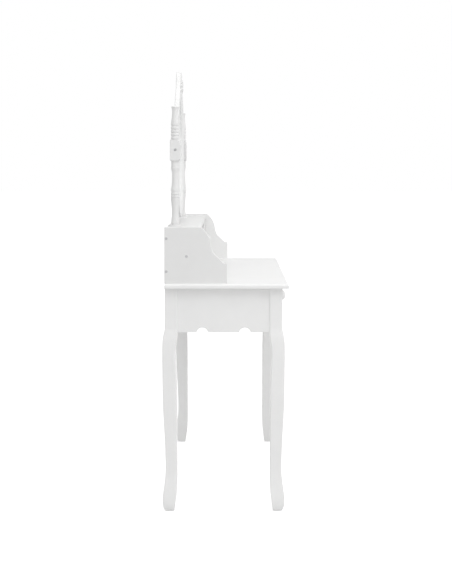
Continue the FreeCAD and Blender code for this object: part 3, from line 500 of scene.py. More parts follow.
@dataclass(frozen=True)
class Plastic:
    """Moulded plastic with a fine spark-eroded texture."""

    name: str
    light: Colour
    dark: Colour
    roughness: float = 0.55
    roughness_swing: float = 0.1
    grit_per_metre: float = 3200.0
    clouds_per_metre: float = 60.0
    stops: tuple[float, float] = (0.3, 0.7)
    grit_depth: float = 0.03 * MM
    relief: float = 0.5

    def make(self) -> bpy.types.Material:
        """Build the material.

        Returns:
            The material.
        """
        surface = Surface(self.name, ior=1.49)
        grit = surface.noise(surface.place, self.grit_per_metre, 2.0)
        cloud = surface.noise(surface.place, self.clouds_per_metre, 2.0)
        colour = surface.ramp(cloud, list(zip(self.stops, (self.dark, self.light))))
        roughness = surface.around(self.roughness, self.roughness_swing, grit)
        return surface.finish(colour, roughness, grit, self.grit_depth, self.relief)


Finish = Paint | BareWood | Fibreboard | PlatedSteel | Silvering | Plastic


class Palette:
    """Every finish of the table, each made once and handed out by slot."""

    LIGHT = (0.862, 0.862, 0.858)
    SHADE = (0.838, 0.838, 0.834)
    # How each painted node's grain runs, and how bright its white is.  The first start that fits a
    # name holds.
    PAINTED = {
        "tabletop": (Grain.ALONG_X, Whiteness.TABLE), "back_apron": (Grain.ALONG_X, Whiteness.TABLE),
        "front_apron": (Grain.ALONG_X, Whiteness.TABLE), "side_apron": (Grain.ALONG_Y, Whiteness.TABLE),
        "drawer": (Grain.ALONG_X, Whiteness.TABLE), "hutch_top": (Grain.ALONG_X, Whiteness.HUTCH),
        "hutch_back": (Grain.ALONG_X, Whiteness.HUTCH), "hutch_drawer": (Grain.ALONG_X, Whiteness.HUTCH),
        # The right side panel has the table's lighter white: painted light, standing in for the
        # bounce light on its inner face.
        "hutch_side_right": (Grain.ALONG_Z, Whiteness.TABLE),
        "hutch": (Grain.ALONG_Z, Whiteness.HUTCH), "post": (Grain.ALONG_Z, Whiteness.HUTCH),
        "pivot": (Grain.ALONG_Z, Whiteness.HUTCH), "mirror_carving": (Grain.ALONG_X, Whiteness.MIRROR),
        "mirror": (Grain.ALONG_Z, Whiteness.MIRROR),
    }

    def __init__(self) -> None:
        """Name the finish of each slot; nothing is built until it is asked for."""
        self.plain: dict[str, Finish] = {
            "drawer_box_paint": Paint("drawer_box_paint", (0.80, 0.80, 0.79), (0.77, 0.77, 0.755),
                                      Grain.ALONG_Y, 0.5, grain_share=0.6),
            "drawer_fibreboard": Fibreboard("drawer_fibreboard", (0.76, 0.76, 0.74),
                                            (0.70, 0.70, 0.68), 0.5),
            "back_fibreboard": Fibreboard("back_fibreboard", (0.36, 0.235, 0.135),
                                          (0.21, 0.13, 0.07)),
            "bare_wood": BareWood("bare_wood", (0.66, 0.50, 0.31), (0.47, 0.32, 0.17)),
            "dowel_wood": BareWood("dowel_wood", (0.58, 0.40, 0.23), (0.42, 0.27, 0.14),
                                   Grain.ALONG_X),
            "zinc_steel": PlatedSteel("zinc_steel", (0.60, 0.60, 0.61), (0.46, 0.46, 0.47)),
            "mirror_silver": Silvering("mirror_silver", (0.93, 0.945, 0.94), (0.91, 0.93, 0.922)),
            "glide_plastic": Plastic("glide_plastic", (0.72, 0.72, 0.71), (0.66, 0.66, 0.65)),
        }
        self.made: dict[str, bpy.types.Material] = {}

    def _get(self, finish: Finish) -> bpy.types.Material:
        """Make a finish the first time it is asked for.

        Args:
            finish: The finish.

        Returns:
            Its material.
        """
        if finish.name not in self.made:
            self.made[finish.name] = finish.make()
        return self.made[finish.name]

    def of(self, slot: str, node: str = "") -> bpy.types.Material:
        """The material of a slot, for a node.

        Args:
            slot: The record's material slot.
            node: The node, whose name tells how bright its white is and how its grain runs.

        Returns:
            The material.
        """
        if slot in self.plain:
            return self._get(self.plain[slot])
        grain, whiteness = next((look for start, look in self.PAINTED.items()
                             if node.startswith(start)), (Grain.ALONG_Z, Whiteness.TABLE))
        return self._get(Paint(f"white_{whiteness.name}_{grain.name}".lower(),
                               whiteness.tone(self.LIGHT), whiteness.tone(self.SHADE), grain))


# ---------------------------------------------------------------- mesh making
@dataclass
class Shell:
    """Points and faces of a closed form, in metres."""

    points: list[Vector] = field(default_factory=list)
    faces: list[tuple[int, ...]] = field(default_factory=list)

    def add(self, other: Shell, place: Matrix | None = None) -> Shell:
        """Take in another shell.

        Args:
            other: The shell to take in.
            place: Where it goes.

        Returns:
            This shell.
        """
        start = len(self.points)
        matrix = place or Matrix.Identity(4)
        self.points += [matrix @ point for point in other.points]
        self.faces += [tuple(start + i for i in face) for face in other.faces]
        return self

    def mesh(self, name: str, material: bpy.types.Material | None = None,
             smooth: bool = True) -> bpy.types.Mesh:
        """Turn the shell into a mesh.

        Args:
            name: The mesh's name.
            material: Its finish.
            smooth: Whether faces shade smoothly up to sharp edges.

        Returns:
            The mesh.
        """
        mesh = bpy.data.meshes.new(name)
        mesh.from_pydata([tuple(p) for p in self.points], [], self.faces)
        mesh.validate()
        if material:
            mesh.materials.append(material)
        if smooth:
            mesh.shade_smooth()
            mesh.set_sharp_from_angle(angle=math.radians(35))
        return mesh

    def piece(self, name: str, material: bpy.types.Material | None = None) -> bpy.types.Object:
        """Turn the shell into an object at the origin."""
        return linked(name, self.mesh(name, material))


def linked(name: str, mesh: bpy.types.Mesh) -> bpy.types.Object:
    """Put a mesh into the scene as an object at the origin.

    Args:
        name: The object's name.
        mesh: Its mesh.

    Returns:
        The object.
    """
    made = bpy.data.objects.new(name, mesh)
    bpy.context.scene.collection.objects.link(made)
    return made


def circle(radius: float) -> Radius:
    """A round outline."""
    return lambda angle: radius


def hexagon(across_flats: float) -> Radius:
    """A six-sided outline, by its width across flats."""
    sixth = math.radians(60)
    return lambda angle: across_flats / 2 / math.cos(angle % sixth - sixth / 2)


def cross(reach: float, arm: float) -> Radius:
    """A cross-shaped outline.

    Args:
        reach: The arms' reach from the axis.
        arm: Their half width.

    Returns:
        The outline.
    """
    quarter = math.radians(90)

    def radius(angle: float) -> float:
        """Distance from the axis in this direction."""
        off = (angle + quarter / 2) % quarter - quarter / 2
        return min(reach, arm / max(abs(math.sin(off)), 1e-6))

    return radius


def oval(half_width: float, half_height: float) -> Radius:
    """An oval outline, by its half width and half height."""
    return lambda angle: half_width * half_height / math.hypot(
        half_height * math.cos(angle), half_width * math.sin(angle))


def thread(root: float, crest: float, pitch: float, height: float,
           steepness: float = 3.2) -> Radius:
    """A slice through a screw thread.

    Args:
        root: Radius at the thread's root.
        crest: Radius at its crest.
        pitch: Rise in one turn.
        height: The slice's place along the axis.
        steepness: Thread depths that a flank falls in one pitch.

    Returns:
        The outline.
    """
    def radius(angle: float) -> float:
        """Distance from the axis in this direction."""
        phase = (height / pitch - angle / math.tau) % 1.0
        return root + (crest - root) * max(0.0, 1.0 - abs(phase - 0.5) * steepness)

    return radius


def lathe(rings: Sequence[Ring], segments: int = 48) -> Shell:
    """A closed form from outlines stacked along +Z, bottom to top.

    Args:
        rings: Height and outline of each ring.  None is a point on the axis.
        segments: Points round each ring.

    Returns:
        The form.
    """
    shell = Shell()
    turns = [math.tau * i / segments for i in range(segments)]
    rows: list[list[int]] = []
    for height, outline in rings:
        start = len(shell.points)
        if outline is None:
            shell.points.append(Vector((0.0, 0.0, height)))
            rows.append([start] * segments)
            continue
        for turn in turns:
            r = outline(turn)
            shell.points.append(Vector((r * math.cos(turn), r * math.sin(turn), height)))
        rows.append(list(range(start, start + segments)))
    for low, high in zip(rows, rows[1:]):
        for i in range(segments):
            j = (i + 1) % segments
            corners = (low[i], low[j], high[j], high[i])
            face = tuple(dict.fromkeys(corners))
            if len(face) > 2:
                shell.faces.append(face)
    return shell


def swept(path: Sequence[Vector], radii: Sequence[tuple[float, float]], across: Vector,
          ridged: bool = False, segments: int = 16) -> Shell:
    """A tapering bar along a path.

    Args:
        path: Points of the centre line.
        radii: Half width and half thickness at each point.
        across: Direction of the thickness, square to the path.
        ridged: Whether its face rises to a ridge rather than a round back.
        segments: Points round the bar.

    Returns:
        The bar, closed at both ends.
    """
    shell = Shell()
    last = len(path) - 1
    turns = [math.tau * k / segments for k in range(segments)]
    for i, (point, (half_width, half_thick)) in enumerate(zip(path, radii)):
        side = (path[min(i + 1, last)] - path[max(i - 1, 0)]).cross(across).normalized()
        for turn in turns:
            lift = math.sin(turn)
            if ridged:
                lift = math.copysign(1 - abs(math.cos(turn)), lift)
            shell.points.append(point + side * half_width * math.cos(turn)
                                + across * half_thick * lift)
    for i in range(last):
        for k in range(segments):
            j = (k + 1) % segments
            shell.faces.append((i * segments + k, i * segments + j,
                                (i + 1) * segments + j, (i + 1) * segments + k))
    shell.faces.append(tuple(reversed(range(segments))))
    shell.faces.append(tuple(range(last * segments, (last + 1) * segments)))
    return shell


def blend(start: float, end: float, share: float) -> float:
    """A value part of the way from a start to an end."""
    return start + (end - start) * share


def bend(start: Vector, middle: Vector, end: Vector, count: int) -> list[Vector]:
    """Points along a quadratic curve.

    Args:
        start: Its start.
        middle: Its control point.
        end: Its end.
        count: How many points.

    Returns:
        The points.
    """
    shares = [i / (count - 1) for i in range(count)]
    return [start * (1 - t) ** 2 + middle * (2 * t * (1 - t)) + end * t ** 2 for t in shares]


def evaluated(carrier: bpy.types.Object, name: str) -> bpy.types.Object:
    """Turn an object and its modifiers into a plain piece, and remove the object.

    Args:
        carrier: The object with modifiers.
        name: The piece's name.

    Returns:
        The piece.
    """
    graph = bpy.context.evaluated_depsgraph_get()
    mesh = bpy.data.meshes.new_from_object(carrier.evaluated_get(graph))
    mesh.name = name
    bpy.data.objects.remove(carrier)
    return linked(name, mesh)


# ---------------------------------------------------------------- geometry trees
class Recipe(NodeTree):
    """A geometry tree with named inputs, run on a carrier to make one plain piece."""

    def __init__(self, name: str) -> None:
        """Start the tree with its geometry and material inputs.

        Args:
            name: The tree's name.
        """
        super().__init__(bpy.data.node_groups.new(name, "GeometryNodeTree"))
        self.ids: dict[str, str] = {}
        self.entry = self.node("NodeGroupInput")
        self.carrier = self.input("Geometry", "NodeSocketGeometry")
        self.material = self.input("Material", "NodeSocketMaterial")
        self.tree.interface.new_socket("Geometry", in_out="OUTPUT",
                                       socket_type="NodeSocketGeometry")

    def input(self, name: str, socket_type: str, default: Any = None) -> Signal:
        """Add a named input.

        Args:
            name: The input's name.
            socket_type: Its socket type.
            default: Its default value.

        Returns:
            The input as a signal.
        """
        item = self.tree.interface.new_socket(name, in_out="INPUT", socket_type=socket_type)
        if default is not None:
            item.default_value = default
        self.ids[name] = item.identifier
        return Signal(self, self.entry.outputs[name])

    def combine(self, x: Signal | float = 0.0, y: Signal | float = 0.0,
                z: Signal | float = 0.0) -> Signal:
        """A vector from three numbers."""
        return self.signal("ShaderNodeCombineXYZ", {}, {0: x, 1: y, 2: z})

    def end(self, geometry: Signal) -> None:
        """Realize the instances, set their material and send them out.

        Args:
            geometry: The instances.
        """
        solid = self.signal("GeometryNodeRealizeInstances", {}, {"Geometry": geometry})
        dressed = self.signal("GeometryNodeSetMaterial", {},
                              {"Geometry": solid, "Material": self.material})
        self.node("NodeGroupOutput", {}, {0: dressed})

    def run(self, name: str, values: Mapping[str, Any],
            carrier: bpy.types.Mesh | None = None) -> bpy.types.Object:
        """Run the tree.

        Args:
            name: The piece's name.
            values: Input values by name.
            carrier: The mesh that the tree works on, empty if not given.

        Returns:
            The plain piece.
        """
        holder = linked(name + "_carrier", carrier or bpy.data.meshes.new(name + "_carrier"))
        modifier = holder.modifiers.new("Recipe", "NODES")
        modifier.node_group = self.tree
        for key, value in values.items():
            modifier[self.ids[key]] = value
        return evaluated(holder, name)


class FastenerRecipe(Recipe):
    """Sets a fastener at each point, with its head towards the point's facing direction."""

    FACING = "facing"

    def __init__(self) -> None:
        """Build the tree."""
        super().__init__("fasteners_at_points")
        pattern = self.input("Fastener", "NodeSocketObject")
        turn = self.input("Turn", "NodeSocketFloat", 0.0)
        size = self.input("Size", "NodeSocketFloat", 1.0)
        shape = self.signal("GeometryNodeObjectInfo", {"transform_space": "ORIGINAL"},
                            {"Object": pattern}, output="Geometry")
        facing = self.signal("GeometryNodeInputNamedAttribute", {"data_type": "FLOAT_VECTOR"},
                             {"Name": self.FACING}, output="Attribute")
        aimed = self.signal("FunctionNodeAlignRotationToVector", {"axis": "Z"},
                            {"Vector": facing})
        order = self.signal("GeometryNodeInputIndex")
        own_turn = self.signal("FunctionNodeEulerToRotation", {},
                               {0: self.combine(0.0, 0.0, turn * (order + 1))})
        rotation = self.signal("FunctionNodeRotateRotation", {"rotation_space": "LOCAL"},
                               {"Rotation": aimed, "Rotate By": own_turn})
        self.end(self.signal("GeometryNodeInstanceOnPoints", {},
                             {"Points": self.carrier, "Instance": shape, "Rotation": rotation,
                              "Scale": self.combine(size, size, size)}))

    def place(self, name: str, pattern: Shell, spots: Iterable[tuple[Vector, Vector]],
              material: bpy.types.Material, turn: float = 0.0) -> bpy.types.Object:
        """Set a fastener at each spot.

        Args:
            name: The piece's name.
            pattern: One fastener, its head towards +Z and its seat at the origin.
            spots: Seat and facing direction of each.
            material: Their finish.
            turn: How much further each is driven than the one before, in radians.

        Returns:
            The piece.
        """
        seats, facings = zip(*spots)
        mesh = Shell(list(seats)).mesh(name + "_spots", smooth=False)
        attribute = mesh.attributes.new(self.FACING, "FLOAT_VECTOR", "POINT")
        for item, facing in zip(attribute.data, facings):
            item.vector = facing
        one = pattern.piece(name + "_pattern")
        made = self.run(name, {"Fastener": one, "Turn": turn, "Size": 1.0,
                               "Material": material}, mesh)
        bpy.data.objects.remove(one)
        return made


class FanRecipe(Recipe):
    """Turns copies of a flute about one centre, the outer ones shorter and a little slimmer."""

    SLIMMING = 0.3

    def __init__(self) -> None:
        """Build the tree."""
        super().__init__("fan_of_flutes")
        pattern = self.input("Flute", "NodeSocketObject")
        count = self.input("Count", "NodeSocketInt", 9)
        spread = self.input("Spread", "NodeSocketFloat", 2.0)
        falloff = self.input("Falloff", "NodeSocketFloat", 0.2)
        shape = self.signal("GeometryNodeObjectInfo", {"transform_space": "ORIGINAL"},
                            {"Object": pattern}, output="Geometry")
        points = self.signal("GeometryNodePoints", {}, {"Count": count})
        share = self.signal("GeometryNodeInputIndex") / (count - 1.0) * 2.0 - 1.0
        rotation = self.signal("FunctionNodeEulerToRotation", {},
                               {0: self.combine(0.0, share * spread / 2.0, 0.0)})
        length = 1.0 - falloff * share * share
        self.end(self.signal("GeometryNodeInstanceOnPoints", {},
                             {"Points": points, "Instance": shape, "Rotation": rotation,
                              "Scale": self.combine(
                                  1.0, 1.0 - self.SLIMMING * falloff * abs(share), length)}))


class SprayRecipe(Recipe):
    """Sets leaflets along a bent stem, to alternate sides and smaller towards its tip."""

    STEM_STEPS = 24

    def __init__(self) -> None:
        """Build the tree."""
        super().__init__("spray_of_leaflets")
        pattern = self.input("Leaflet", "NodeSocketObject")
        ends = {name: self.input(name, "NodeSocketVector") for name in ("Start", "Middle", "End")}
        count = self.input("Count", "NodeSocketInt", 9)
        splay = self.input("Splay", "NodeSocketFloat", 0.8)
        taper = self.input("Taper", "NodeSocketFloat", 0.5)
        shape = self.signal("GeometryNodeObjectInfo", {"transform_space": "ORIGINAL"},
                            {"Object": pattern}, output="Geometry")
        stem = self.signal("GeometryNodeCurveQuadraticBezier", {},
                           {"Resolution": self.STEM_STEPS, **ends})
        points = self.node("GeometryNodeCurveToPoints", {"mode": "COUNT"},
                           {"Curve": stem, "Count": count})
        order = self.signal("GeometryNodeInputIndex")
        share = order / (count - 1.0)
        side = order % 2.0 * 2.0 - 1.0
        aimed = self.signal("FunctionNodeAlignRotationToVector", {"axis": "Z", "pivot_axis": "Y"},
                            {"Vector": Signal(self, points.outputs["Tangent"])})
        splayed = self.signal("FunctionNodeEulerToRotation", {},
                              {0: self.combine(0.0, side * splay * (1.0 - share), 0.0)})
        rotation = self.signal("FunctionNodeRotateRotation", {"rotation_space": "LOCAL"},
                               {"Rotation": aimed, "Rotate By": splayed})
        scale = 1.0 - taper * share
        self.end(self.signal("GeometryNodeInstanceOnPoints", {},
                             {"Points": Signal(self, points.outputs["Points"]),
                              "Instance": shape, "Rotation": rotation,
                              "Scale": self.combine(scale, scale, scale)}))


# ---------------------------------------------------------------- fasteners
class Drive(Enum):
    """The recess in a screw's head."""

    HEX = "hex"
    CROSS = "cross"


@dataclass(frozen=True)
class Screw:
    """A screw with its seat at the origin and its head towards +Z."""

    head_radius: float
    head_height: float
    shank_radius: float
    shank_length: float
    drive: Drive
    drive_size: float
    pitch: float = 1.25 * MM
    slices: int = 5
    segments: int = 48
    root_share: float = 0.8
    point_share: float = 0.7
    chamfer_share: float = 0.12
    socket_mouth: float = 1.1
    socket_floor: float = 0.4
    drill_point: float = 0.1
    foot_share: float = 0.97
    crown: tuple[tuple[float, float], ...] = ((0.25, 1.0), (0.55, 0.9), (0.8, 0.74), (0.93, 0.6))
    arm_share: float = 1 / 6
    cross_steps: tuple[tuple[float, float, float], ...] = ((0.97, 1.0, 1.0), (0.4, 0.7, 0.8))
    cross_floor: float = 0.2

    def _shank(self) -> list[Ring]:
        """Slice the threaded shank, tip first.

        Returns:
            Height and outline of each slice.
        """
        root = self.root_share * self.shank_radius
        count = round(self.shank_length / self.pitch * self.slices)
        step = self.shank_length / count
        heights = [i * step - self.shank_length for i in range(1, count)]
        return [(-self.shank_length, None),
                (-self.shank_length, circle(self.point_share * root)),
                *((h, thread(root, self.shank_radius, self.pitch, h)) for h in heights),
                (0.0, circle(root))]

    def _head(self) -> list[Ring]:
        """Slice the head, from its seat to the floor of its recess.

        Returns:
            Height and outline of each slice.
        """
        r, h = self.head_radius, self.head_height
        if self.drive is Drive.HEX:
            chamfer = self.chamfer_share * h
            outline = hexagon(self.drive_size)
            floor = self.socket_floor * h
            lip = h - chamfer / 3
            return [(0.0, circle(r)), (h - chamfer, circle(r)), (h, circle(r - chamfer)),
                    (h, hexagon(self.socket_mouth * self.drive_size)), (lip, outline),
                    (floor, outline), (floor - self.drill_point * h, None)]
        reach = self.drive_size / 2
        arm = self.arm_share * self.drive_size
        return [(0.0, circle(self.foot_share * r)),
                *((up * h, circle(out * r)) for up, out in self.crown),
                *((up * h, cross(long * reach, wide * arm))
                  for up, long, wide in self.cross_steps),
                (self.cross_floor * h, None)]

    def shell(self) -> Shell:
        """The whole screw."""
        return lathe([*self._shank(), *self._head()], self.segments)


@dataclass(frozen=True)
class HangerBolt:
    """A threaded rod with a washer on its seat, at the origin, and a hexagon nut above it."""

    radius: float = 3.0 * MM
    tail: float = 9.0 * MM
    length: float = 54.0 * MM
    washer_radius: float = 8.0 * MM
    washer_height: float = 1.5 * MM
    nut_across: float = 9.5 * MM
    nut_height: float = 5.0 * MM
    pitch: float = 1.0 * MM
    slices: int = 5
    rod_segments: int = 24
    root_share: float = 0.82
    washer_edge: tuple[float, float] = (0.8, 0.97)
    nut_rim: float = 0.5
    nut_clip: float = 0.56
    nut_chamfer: float = 0.16

    def shell(self) -> Shell:
        """Make the rod, washer and nut.

        Returns:
            The three as one form.
        """
        count = round(self.length / self.pitch * self.slices)
        low = self.tail - self.length
        heights = [low + self.length * i / count for i in range(count + 1)]
        root = self.root_share * self.radius
        rod = lathe([(low, None), *((h, thread(root, self.radius, self.pitch, h))
                                    for h in heights), (self.tail, None)],
                    self.rod_segments)
        w, r = self.washer_height, self.washer_radius
        up, out = self.washer_edge
        washer = lathe([(0, None), (0, circle(r)), (up * w, circle(r)), (w, circle(out * r)),
                        (w, None)])
        rim = circle(self.nut_rim * self.nut_across)
        hexed = hexagon(self.nut_across)
        clipped = self._least(hexed, circle(self.nut_clip * self.nut_across))
        top = w + self.nut_height
        chamfer = self.nut_chamfer * self.nut_height
        nut = lathe([(w, None), (w, rim), (w + chamfer / 2, clipped), (w + chamfer, hexed),
                     (top - chamfer, hexed), (top - chamfer / 2, clipped), (top, rim), (top, None)])
        return rod.add(washer).add(nut)

    @staticmethod
    def _least(first: Radius, second: Radius) -> Radius:
        """The smaller of two outlines in each direction."""
        return lambda angle: min(first(angle), second(angle))


# ---------------------------------------------------------------- sub-assemblies
@dataclass
class Frame:
    """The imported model's nodes and what its record says of them."""

    nodes: dict[str, bpy.types.Object]
    slots: dict[str, str]
    palette: Palette
    fasteners: FastenerRecipe

    def dress(self, *prefixes: str) -> None:
        """Give the nodes that start with one of the prefixes their finish.

        Args:
            prefixes: Starts of node names.
        """
        for name in sorted(self.nodes):
            if name.startswith(prefixes):
                mesh = self.nodes[name].data
                mesh.materials.clear()
                mesh.materials.append(self.palette.of(self.slots[name], name))
                LOG.info("%s: %s", name, mesh.materials[0].name)

    def adopt(self, piece: bpy.types.Object, body: str, *replaced: str) -> None:
        """Let a piece ride on a body in place of nodes.

        Args:
            piece: The piece.
            body: The body that it moves with.
            replaced: The nodes that it stands for.
        """
        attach(piece, body)
        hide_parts(*replaced)
        LOG.info("%s: %d faces on %s", piece.name, len(piece.data.polygons), body)


class SubAssembly:
    """A part of the table with its own pieces."""

    def build(self, frame: Frame) -> None:
        """Make its pieces and dress its nodes."""
        raise NotImplementedError


@dataclass
class Carcass(SubAssembly):
    """Tabletop, legs, aprons and what joins them."""

    bolt: HangerBolt = field(default_factory=HangerBolt)
    bolt_turn: float = 0.7
    tip_inset: float = 1.5 * MM

    def build(self, frame: Frame) -> None:
        """Dress the woodwork and set a hanger bolt in each corner.

        Args:
            frame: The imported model.
        """
        frame.dress("tabletop", "leg_", "foot_", "corner_", "back_apron", "front_apron",
                    "side_apron", "drawer_divider", "runner_", "drawer_runners", "apron_dowels")
        low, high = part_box("corner_bolts")
        height = (low.z + high.z) / 2
        spots = []
        for x, y in ((low.x, low.y), (low.x, high.y), (high.x, low.y), (high.x, high.y)):
            outward = Vector((math.copysign(1, x), math.copysign(1, y), 0)).normalized()
            tip = Vector((x, y, height)) - outward * self.tip_inset
            seat = tip - outward * (self.bolt.length - self.bolt.tail)
            spots.append((seat, -outward))
        steel = frame.palette.of(frame.slots["corner_bolts"])
        piece = frame.fasteners.place("hanger_bolts", self.bolt.shell(), spots, steel,
                                      self.bolt_turn)
        frame.adopt(piece, "table", "corner_bolts")


@dataclass
class Hutch(SubAssembly):
    """Side panels, top, back, dividers, and the screws let into the side panels."""

    recess: float = 4.0 * MM
    back_screw: Screw = Screw(4.3 * MM, 3.0 * MM, 2.5 * MM, 42.0 * MM, Drive.HEX, 3.6 * MM)
    cleat_screw: Screw = Screw(4.3 * MM, 3.0 * MM, 2.5 * MM, 13.0 * MM, Drive.HEX, 3.6 * MM)
    back_setback: float = 6.0 * MM
    cleat_setback: float = 71.0 * MM
    back_heights: tuple[float, float] = (38.0 * MM, 144.0 * MM)
    cleat_height: float = 87.0 * MM
    screw_turn: float = 0.4

    def _screws(self, frame: Frame, name: str, screw: Screw,
                places: Iterable[tuple[float, float]]) -> None:
        """Set screws in both side panels.

        Args:
            frame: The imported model.
            name: The piece's name.
            screw: The screw.
            places: Depth from the panel's back, and height above the tabletop, of each.
        """
        low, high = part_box("hutch_side_right")
        seat_x = high.x - self.recess - screw.head_height
        spots = [(Vector((side * seat_x, high.y - depth, low.z + height)), Vector((side, 0, 0)))
                 for side in (-1, 1) for depth, height in places]
        steel = frame.palette.of(frame.slots["hutch_screws"])
        piece = frame.fasteners.place(name, screw.shell(), spots, steel, self.screw_turn)
        frame.adopt(piece, "table", "hutch_screws")

    def build(self, frame: Frame) -> None:
        """Dress the panels and set their screws.

        Args:
            frame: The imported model.
        """
        frame.dress("hutch_side", "hutch_top", "hutch_back", "hutch_divider", "hutch_runners",
                    "hutch_screws", "hutch_dowels")
        self._screws(frame, "hutch_back_screws", self.back_screw,
                     [(self.back_setback, height) for height in self.back_heights])
        self._screws(frame, "hutch_cleat_screws", self.cleat_screw,
                     [(self.cleat_setback, self.cleat_height)])


@dataclass
class Drawer(SubAssembly):
    """One drawer: its box, its knob and the screw that holds the knob."""

    name: str
    front_thick: float
    bite: float = 12.0 * MM
    head_radius: float = 4.5 * MM
    head_height: float = 2.5 * MM
    shank_radius: float = 2.0 * MM
    drive_size: float = 5.0 * MM
    turn_per_letter: float = 0.3

    def build(self, frame: Frame) -> None:
        """Dress the drawer and set its knob screw.

        Args:
            frame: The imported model.
        """
        frame.dress(self.name + "_")
        node = self.name + "_knob_screw"
        low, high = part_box(node)
        seat = Vector(((low.x + high.x) / 2, high.y - self.head_height, (low.z + high.z) / 2))
        screw = Screw(self.head_radius, self.head_height, self.shank_radius,
                      self.front_thick + self.bite, Drive.CROSS, self.drive_size)
        steel = frame.palette.of(frame.slots[node])
        piece = frame.fasteners.place(node + "_threaded", screw.shell(),
                                      [(seat, Vector((0, 1, 0)))], steel,
                                      len(self.name) * self.turn_per_letter)
        frame.adopt(piece, self.name, node)


@dataclass
class Posts(SubAssembly):
    """The two turned posts, their base discs and bolts."""

    def build(self, frame: Frame) -> None:
        """Dress the posts."""
        frame.dress("post_")


@dataclass(frozen=True)
class Flute:
    """One flute of the shell: slim at its foot, flared, and rounded off at its tip."""

    length: float = 33.0 * MM
    half_width: float = 4.6 * MM
    steps: int = 18
    foot: float = 0.28
    flare: float = 1.15
    tip: float = 0.16
    least: float = 0.02
    low: float = 0.45
    swell: float = 0.8
    swell_end: float = 0.9

    def shell(self, proud: float, front: Vector) -> Shell:
        """Make the flute, standing on the origin.

        Args:
            proud: How far the carving stands out.
            front: Which way it stands out.

        Returns:
            The flute.
        """
        path, radii = [], []
        for i in range(self.steps + 1):
            t = i / self.steps
            past = max((t - (1 - self.tip)) / self.tip, 0)
            tip = max(math.sqrt(max(1 - past ** 2, 0)), self.least)
            width = blend(self.foot, 1.0, t ** self.flare)
            rise = math.sin(math.pi * min(t, self.swell_end) ** self.swell)
            path.append(Vector((0, 0, t * self.length)))
            radii.append((self.half_width * width * tip, proud * blend(self.low, 1.0, rise) * tip))
        return swept(path, radii, front)


@dataclass(frozen=True)
class Leaf:
    """One leaflet with a ridge along its middle."""

    length: float = 17.0 * MM
    half_width: float = 3.3 * MM
    steps: int = 14
    fullness: float = 0.8
    least: float = 0.02
    height: float = 0.55

    def shell(self, proud: float, front: Vector) -> Shell:
        """Make the leaflet, standing on the origin.

        Args:
            proud: How far the carving stands out.
            front: Which way it stands out.

        Returns:
            The leaflet.
        """
        path, radii = [], []
        for i in range(self.steps + 1):
            t = i / self.steps
            width = max(math.sin(math.pi * t ** self.fullness), self.least)
            path.append(Vector((0, 0, t * self.length)))
            radii.append((self.half_width * width, self.height * proud * width))
        return swept(path, radii, front, ridged=True)


@dataclass(frozen=True)
class Scroll:
    """A bar rolled into a spiral, from its outer end inwards.  Pairs are its start and end."""

    centre: tuple[float, float] = (17.0 * MM, -3.0 * MM)
    degrees: tuple[float, float] = (-60.0, 460.0)
    reach: tuple[float, float] = (8.6 * MM, 2.2 * MM)
    half_width: tuple[float, float] = (2.1 * MM, 1.4 * MM)
    height: tuple[float, float] = (0.6, 0.9)
    points: int = 40

    def shell(self, side: int, proud: float, front: Vector) -> Shell:
        """Make the scroll.

        Args:
            side: -1 for the left one and 1 for the right one.
            proud: How far the carving stands out.
            front: Which way it stands out.

        Returns:
            The scroll.
        """
        x, z = self.centre
        path, radii = [], []
        for i in range(self.points):
            t = i / (self.points - 1)
            angle = math.radians(blend(*self.degrees, t))
            reach = blend(*self.reach, t)
            path.append(Vector((side * (x + reach * math.cos(angle)), 0,
                                z + reach * math.sin(angle))))
            radii.append((blend(*self.half_width, t), proud * blend(*self.height, t)))
        return swept(path, radii, front)


@dataclass(frozen=True)
class Stem:
    """A spray's bent stem, thinner towards its tip."""

    start: tuple[float, float] = (20.0 * MM, -7.0 * MM)
    reach: float = 56.0 * MM
    bend_share: float = 0.62
    bend_height: float = 6.0 * MM
    end_height: float = -9.0 * MM
    half_width: tuple[float, float] = (1.7 * MM, 0.6 * MM)
    height: float = 0.5
    points: int = 24

    def ends(self, side: int) -> tuple[Vector, Vector, Vector]:
        """Place the stem on one side.

        Args:
            side: -1 for the left one and 1 for the right one.

        Returns:
            Its start, control point and end.
        """
        x, z = self.start
        return (Vector((side * x, 0, z)),
                Vector((side * self.bend_share * self.reach, 0, self.bend_height)),
                Vector((side * self.reach, 0, self.end_height)))

    def shell(self, side: int, proud: float, front: Vector) -> Shell:
        """Make the stem.

        Args:
            side: -1 for the left one and 1 for the right one.
            proud: How far the carving stands out.
            front: Which way it stands out.

        Returns:
            The stem.
        """
        radii = [(blend(*self.half_width, i / (self.points - 1)), self.height * proud)
                 for i in range(self.points)]
        return swept(bend(*self.ends(side), self.points), radii, front)


